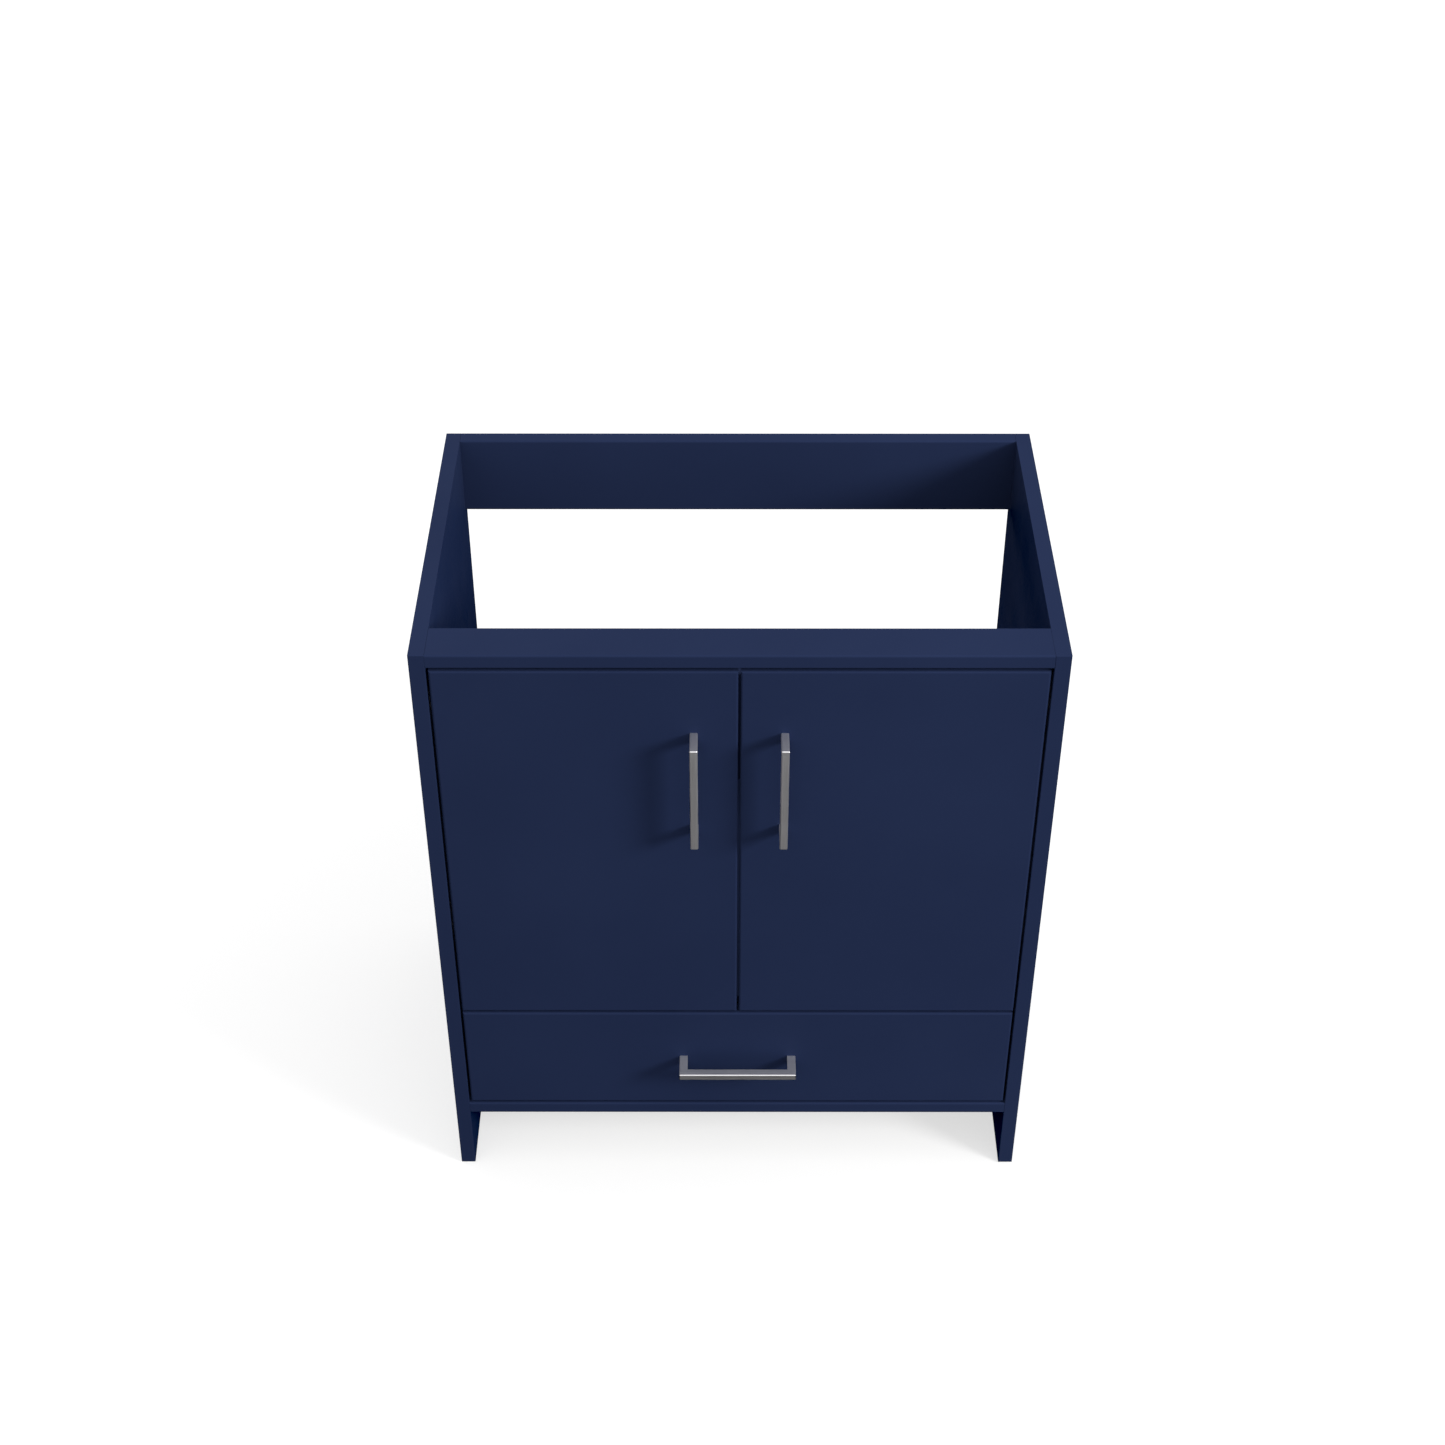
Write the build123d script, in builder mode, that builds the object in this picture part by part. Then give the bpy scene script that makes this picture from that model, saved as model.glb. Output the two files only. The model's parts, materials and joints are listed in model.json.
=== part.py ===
"""Bathroom vanity cabinet: two inset doors over one inset drawer, open at the top and upper back.

Axes: +X to the right seen from the front, +Y towards the back, +Z up. The origin is on the floor,
in the middle of the cabinet's width and halfway between the front of its pulls and its back.
All sizes are in millimetres.
"""
import os
from math import hypot

from build123d import *

os.makedirs("parts", exist_ok=True)

SIDES = {"left": -1, "right": 1}

# ---- Cabinet ----
WIDTH = 762.0                # over both side panels
DEPTH = 480.0                # front edges to back edges
HEIGHT = 882.0               # floor to top edges
BOARD = 19.0                 # painted carcass boards
BOTTOM_CLEARANCE = 103.0     # floor to the underside of the bottom panel
FRONT_RAIL_DEPTH = 53.0      # flat rail across the top front
BACK_RAIL_HEIGHT = 107.0     # upright rail across the top back
BACK_PANEL_HEIGHT = 378.0    # closes the lower back, from the bottom panel up to the plumbing gap
SHELF_THICKNESS = 16.0       # fixed shelf between the door space and the drawer
EDGE_RADIUS = 2.5            # rounded front edges of doors, drawer front and cross boards
SIDE_EDGE_RADIUS = 0.8       # the side panels' front edges are crisper
SEAM = 0.4                   # bevel on the ends of the top rails, which leaves a fine seam

# ---- Doors and drawer front ----
FRONT_THICKNESS = 19.0
SIDE_GAP = 3.0               # between a front and a side panel, and between the doors
LEVEL_GAP = 4.0              # above and below each front
DRAWER_FRONT_HEIGHT = 170.0

# ---- Pulls: square bars on two posts ----
PULL_LENGTH = 153.6
PULL_WIDTH = 9.5
PULL_PROJECTION = 34.8
PULL_BAR_DEPTH = 10.2
PULL_POST = 10.8
PULL_EDGE = 1.0
DOOR_PULL_INSET = 52.3       # pull's middle to the door's free edge
DOOR_PULL_DROP = 167.6       # pull's middle below the door's top edge

# ---- Fits ----
FIT = 0.05                   # round piece in its hole
LOOSE = 0.3                  # moving or hand-fitted flat faces
HOLE_END = 0.5               # room left at the end of a blind hole

# ---- Knock-down fittings ----
DOWEL_RADIUS = 4.0
DOWEL_IN_SIDE = 10.0
DOWEL_IN_BOARD = 18.0
CAM_RADIUS = 7.45
CAM_SETBACK = 34.0           # board's end to the cam's middle
CAM_WALL = 0.8
CAM_SLOT = (9.0, 1.4, 2.0)   # length, width and depth of the cross on a cam
BOLT_THREAD_RADIUS = 2.45
BOLT_IN_SIDE = 10.0
BOLT_SHANK_RADIUS = 3.45
BOLT_NECK_RADIUS = 1.6
BOLT_HEAD_RADIUS = 2.8
BOLT_HEAD_LENGTH = 2.6
FIXING_INSET = 50.0          # cam's middle from the front or back edge of a wide board
FIXING_PITCH = 32.0          # cam to dowel
RAIL_CAM_INSET = 16.0        # from the front edge of the flat front rail
RAIL_DOWEL_INSET = 13.0      # from the back edge of the flat front rail
UPRIGHT_DOWEL_INSET = 20.0   # from the top or bottom edge of the upright back rail
PANEL_CAM_INSET = 75.0       # from the top or bottom edge of the lower back panel
PANEL_DOWEL_INSET = 38.0     # likewise, with a third dowel halfway up

# ---- Floor glides ----
GLIDE_RADIUS = 8.0
GLIDE_THICKNESS = 1.5
GLIDE_NAIL_RADIUS = 1.2
GLIDE_NAIL_LENGTH = 12.0
GLIDE_INSET = 30.0
GLIDE_CHAMFER = 0.5

# ---- Concealed hinges. u runs from the side panel's inner face towards the door's free edge,
# ---- v runs into the cabinet from the back face of the door. The door swings about a line at
# ---- u 15.896, v -11.747, which lies in the air: link and arm hold it there without a pin.
HINGE_INSET = 100.0          # hinge's middle from the door's top or bottom edge
ARM_PIVOT = (36.984, 5.586)
LINK_END = (16.374, -7.900)
LINK_BULGE = 7.472
CUP_PIN = (15.908, -8.619)
CUP_RADIUS = 17.5
CUP_EDGE = 5.0               # door's edge to the cup
CUP_DEPTH = 12.5
CUP_WALL = 1.2
CUP_FLOOR = 0.8
CUP_PIN_RADIUS = 0.7
FLANGE_THICKNESS = 1.2
FLANGE_RADIUS = 19.5
EAR_SPACING = 48.0
EAR_RADIUS = 6.0
EAR_OFFSET = 6.0
LINK_THICKNESS = 1.5
LINK_HALF_WIDTH = 4.5
LINK_BARREL_RADIUS = 2.6
LINK_EYE_RADIUS = 2.5
LINK_EYE_HOLE = 1.7          # wide, because this pivot is left open
ARM_PIN_RADIUS = 1.5
ARM_NOSE_RADIUS = 3.0
ARM_NOSE_REACH = 2.1         # where the arm's straight edges run into its round nose
ARM_SHEET = 1.2
ARM_TOP = 11.5               # arm's outer face from the side panel
ARM_CHEEK = 8.5              # depth of the arm's side cheeks
ARM_BEND = 43.0              # where the straight part of the arm starts
ARM_END = 79.0
PLATE_HOLE_LINE = 37.0       # line of the plate's screws
PLATE_WING_HALF_WIDTH = 6.0
PLATE_WING_HALF_HEIGHT = 23.0
PLATE_WING_THICKNESS = 1.8
PLATE_HOLE_SPACING = 32.0
PLATE_START = 29.0
FIXING_SCREW_LINE = 66.0
ADJUSTING_SCREW_LINE = 51.0

# ---- Drawer slides: full extension, three members on each side ----
SLIDE_HEIGHT = 45.0
SLIDE_THICKNESS = 12.7
SLIDE_SHEET = 1.2
SLIDE_START = 3.0            # behind the drawer front
SLIDE_SHORTER = 30.0         # shorter than the drawer box
RACE_GAP = 3.3               # room for the balls between two members
OUTER_FLANGE = 10.5
MIDDLE_START = 2.7
MIDDLE_END = 11.0
INNER_START = 5.2
SLIDE_SCREW_INSET = 35.0     # first and last screw from the ends; one more is halfway

# ---- Drawer box ----
BOX_BOARD = 12.0
BOX_HEIGHT = 130.0
BOX_LIFT = 12.0              # box's lower edge above the bottom panel
BOX_REAR_ROOM = 12.0
BOTTOM_SHEET = 6.0
GROOVE_DEPTH = 6.0
GROOVE_LIFT = 10.0
BOX_DOWEL_RADIUS = 3.0
BOX_DOWEL_IN_SIDE = 8.0
BOX_DOWEL_IN_END = 16.0
BOX_DOWEL_INSET = 28.0

# ---- Screws: head radius, head height, shank radius, shank length ----
PLATE_SCREW = (4.0, 1.9, 1.9, 13.0)
CUP_SCREW = (3.6, 1.4, 1.7, 12.0)
ARM_SCREW = (3.2, 1.8, 2.0, 8.0)
SLIDE_SCREW = (3.8, 1.1, 1.75, 12.0)
FRONT_SCREW = (4.2, 2.2, 2.0, 24.0)
PULL_SCREW_HEAD = (4.4, 2.4)
PULL_SCREW_RADIUS = 2.0
PULL_SCREW_BITE = 9.0        # thread inside the pull's post
RECESS_WIDTH = 0.9
RECESS_SHARE = 0.6           # of the head's height
FRONT_SCREW_INSET_X = 60.0
FRONT_SCREW_INSET_Z = 25.0

# ---- Rubber bumpers ----
DOOR_BUMPER_RADIUS = 4.5
DRAWER_BUMPER_RADIUS = 2.8
BUMPER_THICKNESS = 2.0
BUMPER_INSET = 20.0
BUMPER_RIM = 0.5             # rounded rim
NOTCH_WIDTH = 42.0           # shelf's front corners are cut back beside the hinges
NOTCH_DEPTH = 8.0

# ---- Worked-out places ----
FRONT = PULL_PROJECTION - (DEPTH + PULL_PROJECTION) / 2
BACK = FRONT + DEPTH
INNER_X = WIDTH / 2 - BOARD
DOOR_BACK = FRONT + FRONT_THICKNESS
BOTTOM_TOP = BOTTOM_CLEARANCE + BOARD
DRAWER_LOW = BOTTOM_TOP + LEVEL_GAP
DRAWER_HIGH = DRAWER_LOW + DRAWER_FRONT_HEIGHT
DOOR_LOW = DRAWER_HIGH + LEVEL_GAP
DOOR_HIGH = HEIGHT - BOARD - LEVEL_GAP
SHELF_LOW = (DRAWER_HIGH + DOOR_LOW - SHELF_THICKNESS) / 2
SHELF_HIGH = SHELF_LOW + SHELF_THICKNESS
SHELF_FRONT = DOOR_BACK + BUMPER_THICKNESS + LOOSE
SHELF_BACK = BACK - BOARD
HINGE_HEIGHTS = {"upper": DOOR_HIGH - HINGE_INSET, "lower": DOOR_LOW + HINGE_INSET}
CAM_HEIGHT = BOARD / 2 + BOLT_HEAD_RADIUS + LOOSE + CAM_WALL
DOOR_PULL_Z = DOOR_HIGH - DOOR_PULL_DROP
DRAWER_MIDDLE = (DRAWER_LOW + DRAWER_HIGH) / 2
BOX_LOW = BOTTOM_TOP + BOX_LIFT
BOX_HIGH = BOX_LOW + BOX_HEIGHT
BOX_X = INNER_X - SLIDE_THICKNESS
BOX_INNER_X = BOX_X - BOX_BOARD
BOX_BACK = BACK - BOARD - BOX_REAR_ROOM
SLIDE_FRONT = DOOR_BACK + SLIDE_START
SLIDE_LENGTH = BOX_BACK - DOOR_BACK - SLIDE_SHORTER
SLIDE_Z = (BOX_LOW + BOX_HIGH) / 2
POST_SPACING = PULL_LENGTH - PULL_POST
DOWN = (0, 0, -1)
REARWARD = (0, 1, 0)


# ---- Helpers ----
def keep(piece, name):
    """Label a finished piece and write it."""
    piece.part.label = name
    export_step(piece.part, f"parts/{name}.step")


def block(x, y, z, mode=Mode.ADD):
    """Rectangular block between a low and a high limit on each axis."""
    limits = [sorted(pair) for pair in (x, y, z)]
    with Locations(tuple(sum(pair) / 2 for pair in limits)):
        Box(*[high - low for low, high in limits], mode=mode)


def drill(mouth, outward, radius, depth):
    """Round hole from its mouth into the piece, against the outward direction."""
    with Locations(Plane(origin=mouth, z_dir=outward)):
        Hole(radius, depth)


def stack(planes, radius, start, end, mode=Mode.ADD):
    """Round stretch from start to end along the normal of each plane."""
    with Locations(*planes):
        with Locations((0, 0, (start + end) / 2)):
            Cylinder(radius, abs(end - start), mode=mode)


def make_screws(name, seats, sizes):
    """Pan-head screws: each seat is the plane under a head, with its normal towards the head."""
    head_radius, head_height, shank_radius, shank_length = sizes
    with BuildPart() as screws:
        stack(seats, head_radius, 0, head_height)
        stack(seats, shank_radius, -shank_length, 0)
        with Locations(*seats):
            with Locations((0, 0, head_height)):
                for turn in (0, 90):
                    Box(head_radius, RECESS_WIDTH, head_height * RECESS_SHARE, rotation=(0, 0, turn),
                        align=(Align.CENTER, Align.CENTER, Align.MAX), mode=Mode.SUBTRACT)
    keep(screws, name)


def front_edges(piece):
    """Edges of the face that looks forward."""
    return piece.faces().sort_by(Axis.Y)[0].edges()


# ---- Carcass: where each board is fixed to the side panels ----
# Each entry holds the dowels and the cam bolts as (y, z), and the face that the cams go in from.
def wide_board_fixings(middle_z, front, back):
    """Two cams and two dowels at each end of a board that lies flat."""
    cams = [(front + FIXING_INSET, middle_z), (back - FIXING_INSET, middle_z)]
    dowels = [(front + FIXING_INSET + FIXING_PITCH, middle_z), (back - FIXING_INSET - FIXING_PITCH, middle_z)]
    return {"dowels": dowels, "cams": cams, "face": DOWN}


RAIL_Y = BACK - BOARD / 2
FRONT_RAIL_Z = HEIGHT - BOARD / 2
BACK_RAIL_LOW = HEIGHT - BACK_RAIL_HEIGHT
BACK_PANEL_TOP = BOTTOM_TOP + BACK_PANEL_HEIGHT
FIXINGS = {
    "bottom_panel": wide_board_fixings(BOTTOM_CLEARANCE + BOARD / 2, FRONT, BACK),
    "compartment_shelf": wide_board_fixings(SHELF_LOW + SHELF_THICKNESS / 2, SHELF_FRONT, SHELF_BACK),
    "front_top_rail": {
        "cams": [(FRONT + RAIL_CAM_INSET, FRONT_RAIL_Z)],
        "dowels": [(FRONT + FRONT_RAIL_DEPTH - RAIL_DOWEL_INSET, FRONT_RAIL_Z)],
        "face": DOWN,
    },
    "back_top_rail": {
        "cams": [(RAIL_Y, (HEIGHT + BACK_RAIL_LOW) / 2)],
        "dowels": [(RAIL_Y, BACK_RAIL_LOW + UPRIGHT_DOWEL_INSET), (RAIL_Y, HEIGHT - UPRIGHT_DOWEL_INSET)],
        "face": REARWARD,
    },
    "back_lower_panel": {
        "cams": [(RAIL_Y, BOTTOM_TOP + PANEL_CAM_INSET), (RAIL_Y, BACK_PANEL_TOP - PANEL_CAM_INSET)],
        "dowels": [
            (RAIL_Y, BOTTOM_TOP + PANEL_DOWEL_INSET),
            (RAIL_Y, (BOTTOM_TOP + BACK_PANEL_TOP) / 2),
            (RAIL_Y, BACK_PANEL_TOP - PANEL_DOWEL_INSET),
        ],
        "face": REARWARD,
    },
}
THICKNESS = dict.fromkeys(FIXINGS, BOARD) | {"compartment_shelf": SHELF_THICKNESS}


def end_planes(places, side):
    """Planes on a board's end, with their normals towards the side panel."""
    return [Plane(origin=(side * INNER_X, y, z), z_dir=(side, 0, 0)) for y, z in places]


def all_end_planes(kind):
    """Every dowel's or cam bolt's plane, at both ends of every board."""
    return [
        plane
        for fixing in FIXINGS.values()
        for side in SIDES.values()
        for plane in end_planes(fixing[kind], side)
    ]


def cam_planes(board):
    """Planes on the face that a board's cams go in from, one over each cam."""
    fixing = FIXINGS[board]
    lift = Vector(*fixing["face"]) * (THICKNESS[board] / 2)
    x = INNER_X - CAM_SETBACK
    return [
        Plane(origin=Vector(side * x, y, z) + lift, z_dir=fixing["face"], x_dir=(side, 0, 0))
        for side in SIDES.values()
        for y, z in fixing["cams"]
    ]


def bore_for_fittings(board):
    """Dowel holes, bolt holes and cam pockets of a board that runs between the side panels."""
    for side in SIDES.values():
        for plane in end_planes(FIXINGS[board]["dowels"], side):
            drill(plane.origin, plane.z_dir, DOWEL_RADIUS + FIT, DOWEL_IN_BOARD + HOLE_END)
        for plane in end_planes(FIXINGS[board]["cams"], side):
            drill(plane.origin, plane.z_dir, BOLT_SHANK_RADIUS + FIT, CAM_SETBACK)
    for plane in cam_planes(board):
        drill(plane.origin, plane.z_dir, CAM_RADIUS + FIT, cam_height(board) + HOLE_END)


def cam_height(board):
    """Cams reach just past the bolt, which runs in the middle of the board."""
    return CAM_HEIGHT - (BOARD - THICKNESS[board]) / 2


def make_cross_board(name, y, z):
    """Board between the side panels, bored at both ends, with its long front edges rounded."""
    with BuildPart() as board:
        block((-INNER_X, INNER_X), y, z)
        if z[1] == HEIGHT:
            chamfer(board.edges().filter_by(Axis.Y).group_by(Axis.Z)[-1], SEAM)
        fillet(front_edges(board).filter_by(Axis.X), EDGE_RADIUS)
        bore_for_fittings(name)
        if name == "compartment_shelf":
            for side in SIDES.values():
                x = (side * (INNER_X - NOTCH_WIDTH), side * INNER_X)
                block(x, (y[0], y[0] + NOTCH_DEPTH), z, mode=Mode.SUBTRACT)
    keep(board, name)


def make_carcass_boards():
    """Bottom panel, shelf, two top rails and the lower back panel."""
    make_cross_board("bottom_panel", (FRONT, BACK), (BOTTOM_CLEARANCE, BOTTOM_TOP))
    make_cross_board("compartment_shelf", (SHELF_FRONT, SHELF_BACK), (SHELF_LOW, SHELF_HIGH))
    make_cross_board("front_top_rail", (FRONT, FRONT + FRONT_RAIL_DEPTH), (HEIGHT - BOARD, HEIGHT))
    make_cross_board("back_top_rail", (BACK - BOARD, BACK), (BACK_RAIL_LOW, HEIGHT))
    make_cross_board("back_lower_panel", (BACK - BOARD, BACK), (BOTTOM_TOP, BACK_PANEL_TOP))


def glide_planes(side):
    """Planes under a side panel's front and back corners, facing down."""
    x = side * (WIDTH - BOARD) / 2
    ends = (FRONT + GLIDE_INSET, BACK - GLIDE_INSET)
    return [Plane(origin=(x, y, GLIDE_THICKNESS), z_dir=DOWN) for y in ends]


def hinge_seats(side, line, spread=0.0):
    """Planes on a side panel at a distance behind the doors, facing into the cabinet."""
    offsets = (-spread, spread) if spread else (0,)
    return [
        Plane(origin=(side * INNER_X, DOOR_BACK + line, middle + offset), z_dir=(-side, 0, 0))
        for middle in HINGE_HEIGHTS.values()
        for offset in offsets
    ]


def slide_seats(x, facing):
    """Planes along a slide's middle line at a distance from the cabinet's middle."""
    distances = (SLIDE_SCREW_INSET, SLIDE_LENGTH / 2, SLIDE_LENGTH - SLIDE_SCREW_INSET)
    return [Plane(origin=(x, SLIDE_FRONT + y, SLIDE_Z), z_dir=(facing, 0, 0)) for y in distances]


def make_side_panels():
    """Side panels run from the glides to the top and carry every board, hinge and slide."""
    for name, side in SIDES.items():
        with BuildPart() as panel:
            block((side * INNER_X, side * WIDTH / 2), (FRONT, BACK), (GLIDE_THICKNESS, HEIGHT))
            fillet(front_edges(panel), SIDE_EDGE_RADIUS)
            for fixing in FIXINGS.values():
                for plane in end_planes(fixing["dowels"], -side):
                    mouth = (side * INNER_X, plane.origin.Y, plane.origin.Z)
                    drill(mouth, (-side, 0, 0), DOWEL_RADIUS + FIT, DOWEL_IN_SIDE + HOLE_END)
                for plane in end_planes(fixing["cams"], -side):
                    mouth = (side * INNER_X, plane.origin.Y, plane.origin.Z)
                    drill(mouth, (-side, 0, 0), BOLT_THREAD_RADIUS + FIT, BOLT_IN_SIDE + HOLE_END)
            for plane in hinge_seats(side, PLATE_HOLE_LINE, PLATE_HOLE_SPACING / 2):
                drill(plane.origin, plane.z_dir, PLATE_SCREW[2] + FIT, PLATE_SCREW[3])
            for plane in slide_seats(side * INNER_X, -side):
                drill(plane.origin, plane.z_dir, SLIDE_SCREW[2] + FIT, SLIDE_SCREW[3])
            for plane in glide_planes(side):
                drill(plane.origin, plane.z_dir, GLIDE_NAIL_RADIUS + FIT, GLIDE_NAIL_LENGTH + HOLE_END)
        keep(panel, f"{name}_side_panel")


def make_knock_down_fittings():
    """Dowels, cam bolts and cams, each kind as one group."""
    with BuildPart() as dowels:
        stack(all_end_planes("dowels"), DOWEL_RADIUS, -DOWEL_IN_BOARD, DOWEL_IN_SIDE)
    keep(dowels, "carcass_dowels")

    bolts_at = all_end_planes("cams")
    neck_start = CAM_SETBACK - CAM_RADIUS
    head_start = CAM_SETBACK - BOLT_HEAD_LENGTH / 2
    with BuildPart() as bolts:
        stack(bolts_at, BOLT_THREAD_RADIUS, 0, BOLT_IN_SIDE)
        stack(bolts_at, BOLT_SHANK_RADIUS, -neck_start + LOOSE, 0)
        stack(bolts_at, BOLT_NECK_RADIUS, -head_start, -neck_start + LOOSE)
        stack(bolts_at, BOLT_HEAD_RADIUS, -head_start - BOLT_HEAD_LENGTH, -head_start)
    keep(bolts, "cam_bolts")

    slot_length, slot_width, slot_depth = CAM_SLOT
    with BuildPart() as cams:
        for board in FIXINGS:
            planes = cam_planes(board)
            stack(planes, CAM_RADIUS, -cam_height(board), 0)
            with Locations(*planes):
                for turn in (0, 90):
                    Box(slot_length, slot_width, slot_depth, rotation=(0, 0, turn),
                        align=(Align.CENTER, Align.CENTER, Align.MAX), mode=Mode.SUBTRACT)
        bore_depth = CAM_SETBACK + BOLT_HEAD_LENGTH
        stack(bolts_at, BOLT_HEAD_RADIUS + LOOSE, -bore_depth, -neck_start + CAM_RADIUS, mode=Mode.SUBTRACT)
    keep(cams, "cam_discs")


def make_glides():
    """Nylon discs on nails under the side panels."""
    planes = glide_planes(-1) + glide_planes(1)
    with BuildPart() as glides:
        stack(planes, GLIDE_RADIUS, 0, GLIDE_THICKNESS)
        chamfer(glides.faces().filter_by(Axis.Z).group_by(Axis.Z)[0].edges(), GLIDE_CHAMFER)
        stack(planes, GLIDE_NAIL_RADIUS, -GLIDE_NAIL_LENGTH, 0)
    keep(glides, "floor_glides")


# ---- Concealed hinges ----
def at_hinge(side, point):
    """Hinge coordinates (u, v) as (x, y)."""
    u, v = point
    return (side * (INNER_X - u), DOOR_BACK + v)


def arm_plan(side, depth_of_cheek, inset):
    """Plan of the cranked arm, from its back end to its nose; inset leaves out the top sheet."""
    top = ARM_TOP - inset
    low = ARM_TOP - depth_of_cheek
    nose_u, nose_v = ARM_PIVOT
    reach = ARM_NOSE_REACH
    return [
        at_hinge(side, point)
        for point in (
            (low, ARM_END),
            (low, ARM_BEND),
            (nose_u - reach, nose_v - reach),
            (nose_u + reach, nose_v + reach),
            (top, ARM_BEND - ARM_SHEET),
            (top, ARM_END),
        )
    ]


def make_hinge(side_name, level):
    """One concealed hinge: cup, link, cranked arm and mounting plate."""
    side = SIDES[side_name]
    middle = HINGE_HEIGHTS[level]
    name = f"{side_name}_{level}_hinge"
    plan = Plane.XY.offset(middle)
    x = side * INNER_X

    with BuildPart() as plate:
        wing_line = DOOR_BACK + PLATE_HOLE_LINE
        block((x, x - side * PLATE_WING_THICKNESS),
              (wing_line - PLATE_WING_HALF_WIDTH, wing_line + PLATE_WING_HALF_WIDTH),
              (middle - PLATE_WING_HALF_HEIGHT, middle + PLATE_WING_HALF_HEIGHT))
        fillet(plate.edges().filter_by(Axis.X), PLATE_WING_HALF_WIDTH - LOOSE)
        block((x, x - side * (ARM_TOP - ARM_SHEET)),
              (DOOR_BACK + PLATE_START, DOOR_BACK + ARM_END),
              (middle - LINK_HALF_WIDTH, middle + LINK_HALF_WIDTH))
        for seat in hinge_seats(side, PLATE_HOLE_LINE, PLATE_HOLE_SPACING / 2):
            drill(seat.origin + seat.z_dir * PLATE_WING_THICKNESS, seat.z_dir,
                  PLATE_SCREW[2] + FIT, PLATE_WING_THICKNESS)
        for line in (FIXING_SCREW_LINE, ADJUSTING_SCREW_LINE):
            top = Plane(origin=(x - side * (ARM_TOP - ARM_SHEET), DOOR_BACK + line, middle),
                        z_dir=(-side, 0, 0))
            drill(top.origin, top.z_dir, ARM_SCREW[2] + FIT, ARM_TOP - ARM_SHEET)
    keep(plate, f"{name}_plate")

    cheek_inside = LINK_HALF_WIDTH + LOOSE
    cheek_outside = cheek_inside + ARM_SHEET
    pivot = at_hinge(side, ARM_PIVOT)
    with BuildPart() as arm:
        with BuildSketch(plan) as outline:
            with BuildLine():
                Polyline(*arm_plan(side, ARM_CHEEK, 0), close=True)
            make_face()
            with Locations(pivot):
                Circle(ARM_NOSE_RADIUS)
        extrude(amount=cheek_outside, both=True)
        with BuildSketch(plan) as hollow:
            with BuildLine():
                Polyline(*arm_plan(side, ARM_CHEEK + ARM_SHEET, ARM_SHEET), close=True)
            make_face()
            with Locations(pivot):
                Circle(ARM_NOSE_RADIUS + LOOSE)
        extrude(amount=cheek_inside, both=True, mode=Mode.SUBTRACT)
        with Locations((*pivot, middle)):
            Cylinder(ARM_PIN_RADIUS, 2 * cheek_outside + LOOSE)
        for line in (FIXING_SCREW_LINE, ADJUSTING_SCREW_LINE):
            drill((x - side * ARM_TOP, DOOR_BACK + line, middle), (-side, 0, 0),
                  ARM_SCREW[2] + FIT, ARM_SHEET)
    keep(arm, f"{name}_arm")

    far_end = at_hinge(side, LINK_END)
    u_span = LINK_END[0] - ARM_PIVOT[0]
    v_span = LINK_END[1] - ARM_PIVOT[1]
    length = hypot(u_span, v_span)
    crown = at_hinge(side, (
        (LINK_END[0] + ARM_PIVOT[0]) / 2 - LINK_BULGE * v_span / length,
        (LINK_END[1] + ARM_PIVOT[1]) / 2 + LINK_BULGE * u_span / length,
    ))
    with BuildPart() as link:
        with BuildSketch(plan) as strip:
            with BuildLine() as spine:
                ThreePointArc(pivot, crown, far_end)
            trace(spine.line, line_width=LINK_THICKNESS)
            with Locations(pivot):
                Circle(LINK_BARREL_RADIUS)
                Circle(ARM_PIN_RADIUS + FIT, mode=Mode.SUBTRACT)
            with Locations(far_end):
                Circle(LINK_EYE_RADIUS)
                Circle(LINK_EYE_HOLE, mode=Mode.SUBTRACT)
        extrude(amount=LINK_HALF_WIDTH, both=True)
    keep(link, f"{name}_link")

    cup_u = SIDE_GAP + CUP_EDGE + CUP_RADIUS
    cup_x, _ = at_hinge(side, (cup_u, 0))
    mouth = Plane(origin=(cup_x, DOOR_BACK, middle), x_dir=(-side, 0, 0), z_dir=REARWARD)
    with BuildPart() as cup:
        stack([mouth], CUP_RADIUS, -CUP_DEPTH, 0)
        with BuildSketch(mouth):
            Circle(FLANGE_RADIUS)
            with Locations((EAR_OFFSET, 0)):
                SlotCenterToCenter(EAR_SPACING, 2 * EAR_RADIUS, rotation=90)
        extrude(amount=FLANGE_THICKNESS)
        stack([mouth], CUP_RADIUS - CUP_WALL, CUP_FLOOR - CUP_DEPTH, FLANGE_THICKNESS, mode=Mode.SUBTRACT)
        with Locations((*at_hinge(side, CUP_PIN), middle)):
            Cylinder(CUP_PIN_RADIUS, 2 * cup_chord(cup_u))
        edge_x = side * (INNER_X - SIDE_GAP)
        block((edge_x, cup_x), (DOOR_BACK, DOOR_BACK + FLANGE_THICKNESS),
              (middle - cheek_inside, middle + cheek_inside), mode=Mode.SUBTRACT)
        for seat in cup_screw_seats(side, middle):
            drill(seat.origin, seat.z_dir, CUP_SCREW[2] + FIT, FLANGE_THICKNESS)
    keep(cup, f"{name}_cup")


def cup_chord(cup_u):
    """Half the length of the cup's pin, which ends in the middle of the cup's wall."""
    wall_middle = CUP_RADIUS - CUP_WALL / 2
    return (wall_middle**2 - (cup_u - CUP_PIN[0])**2) ** 0.5


def cup_screw_seats(side, middle):
    """Planes on the two ears of a cup."""
    x, _ = at_hinge(side, (SIDE_GAP + CUP_EDGE + CUP_RADIUS + EAR_OFFSET, 0))
    y = DOOR_BACK + FLANGE_THICKNESS
    return [
        Plane(origin=(x, y, middle + offset), z_dir=REARWARD)
        for offset in (-EAR_SPACING / 2, EAR_SPACING / 2)
    ]


def lifted(planes, height):
    """The same planes, moved along their normals."""
    return [plane.offset(height) for plane in planes]


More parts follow.
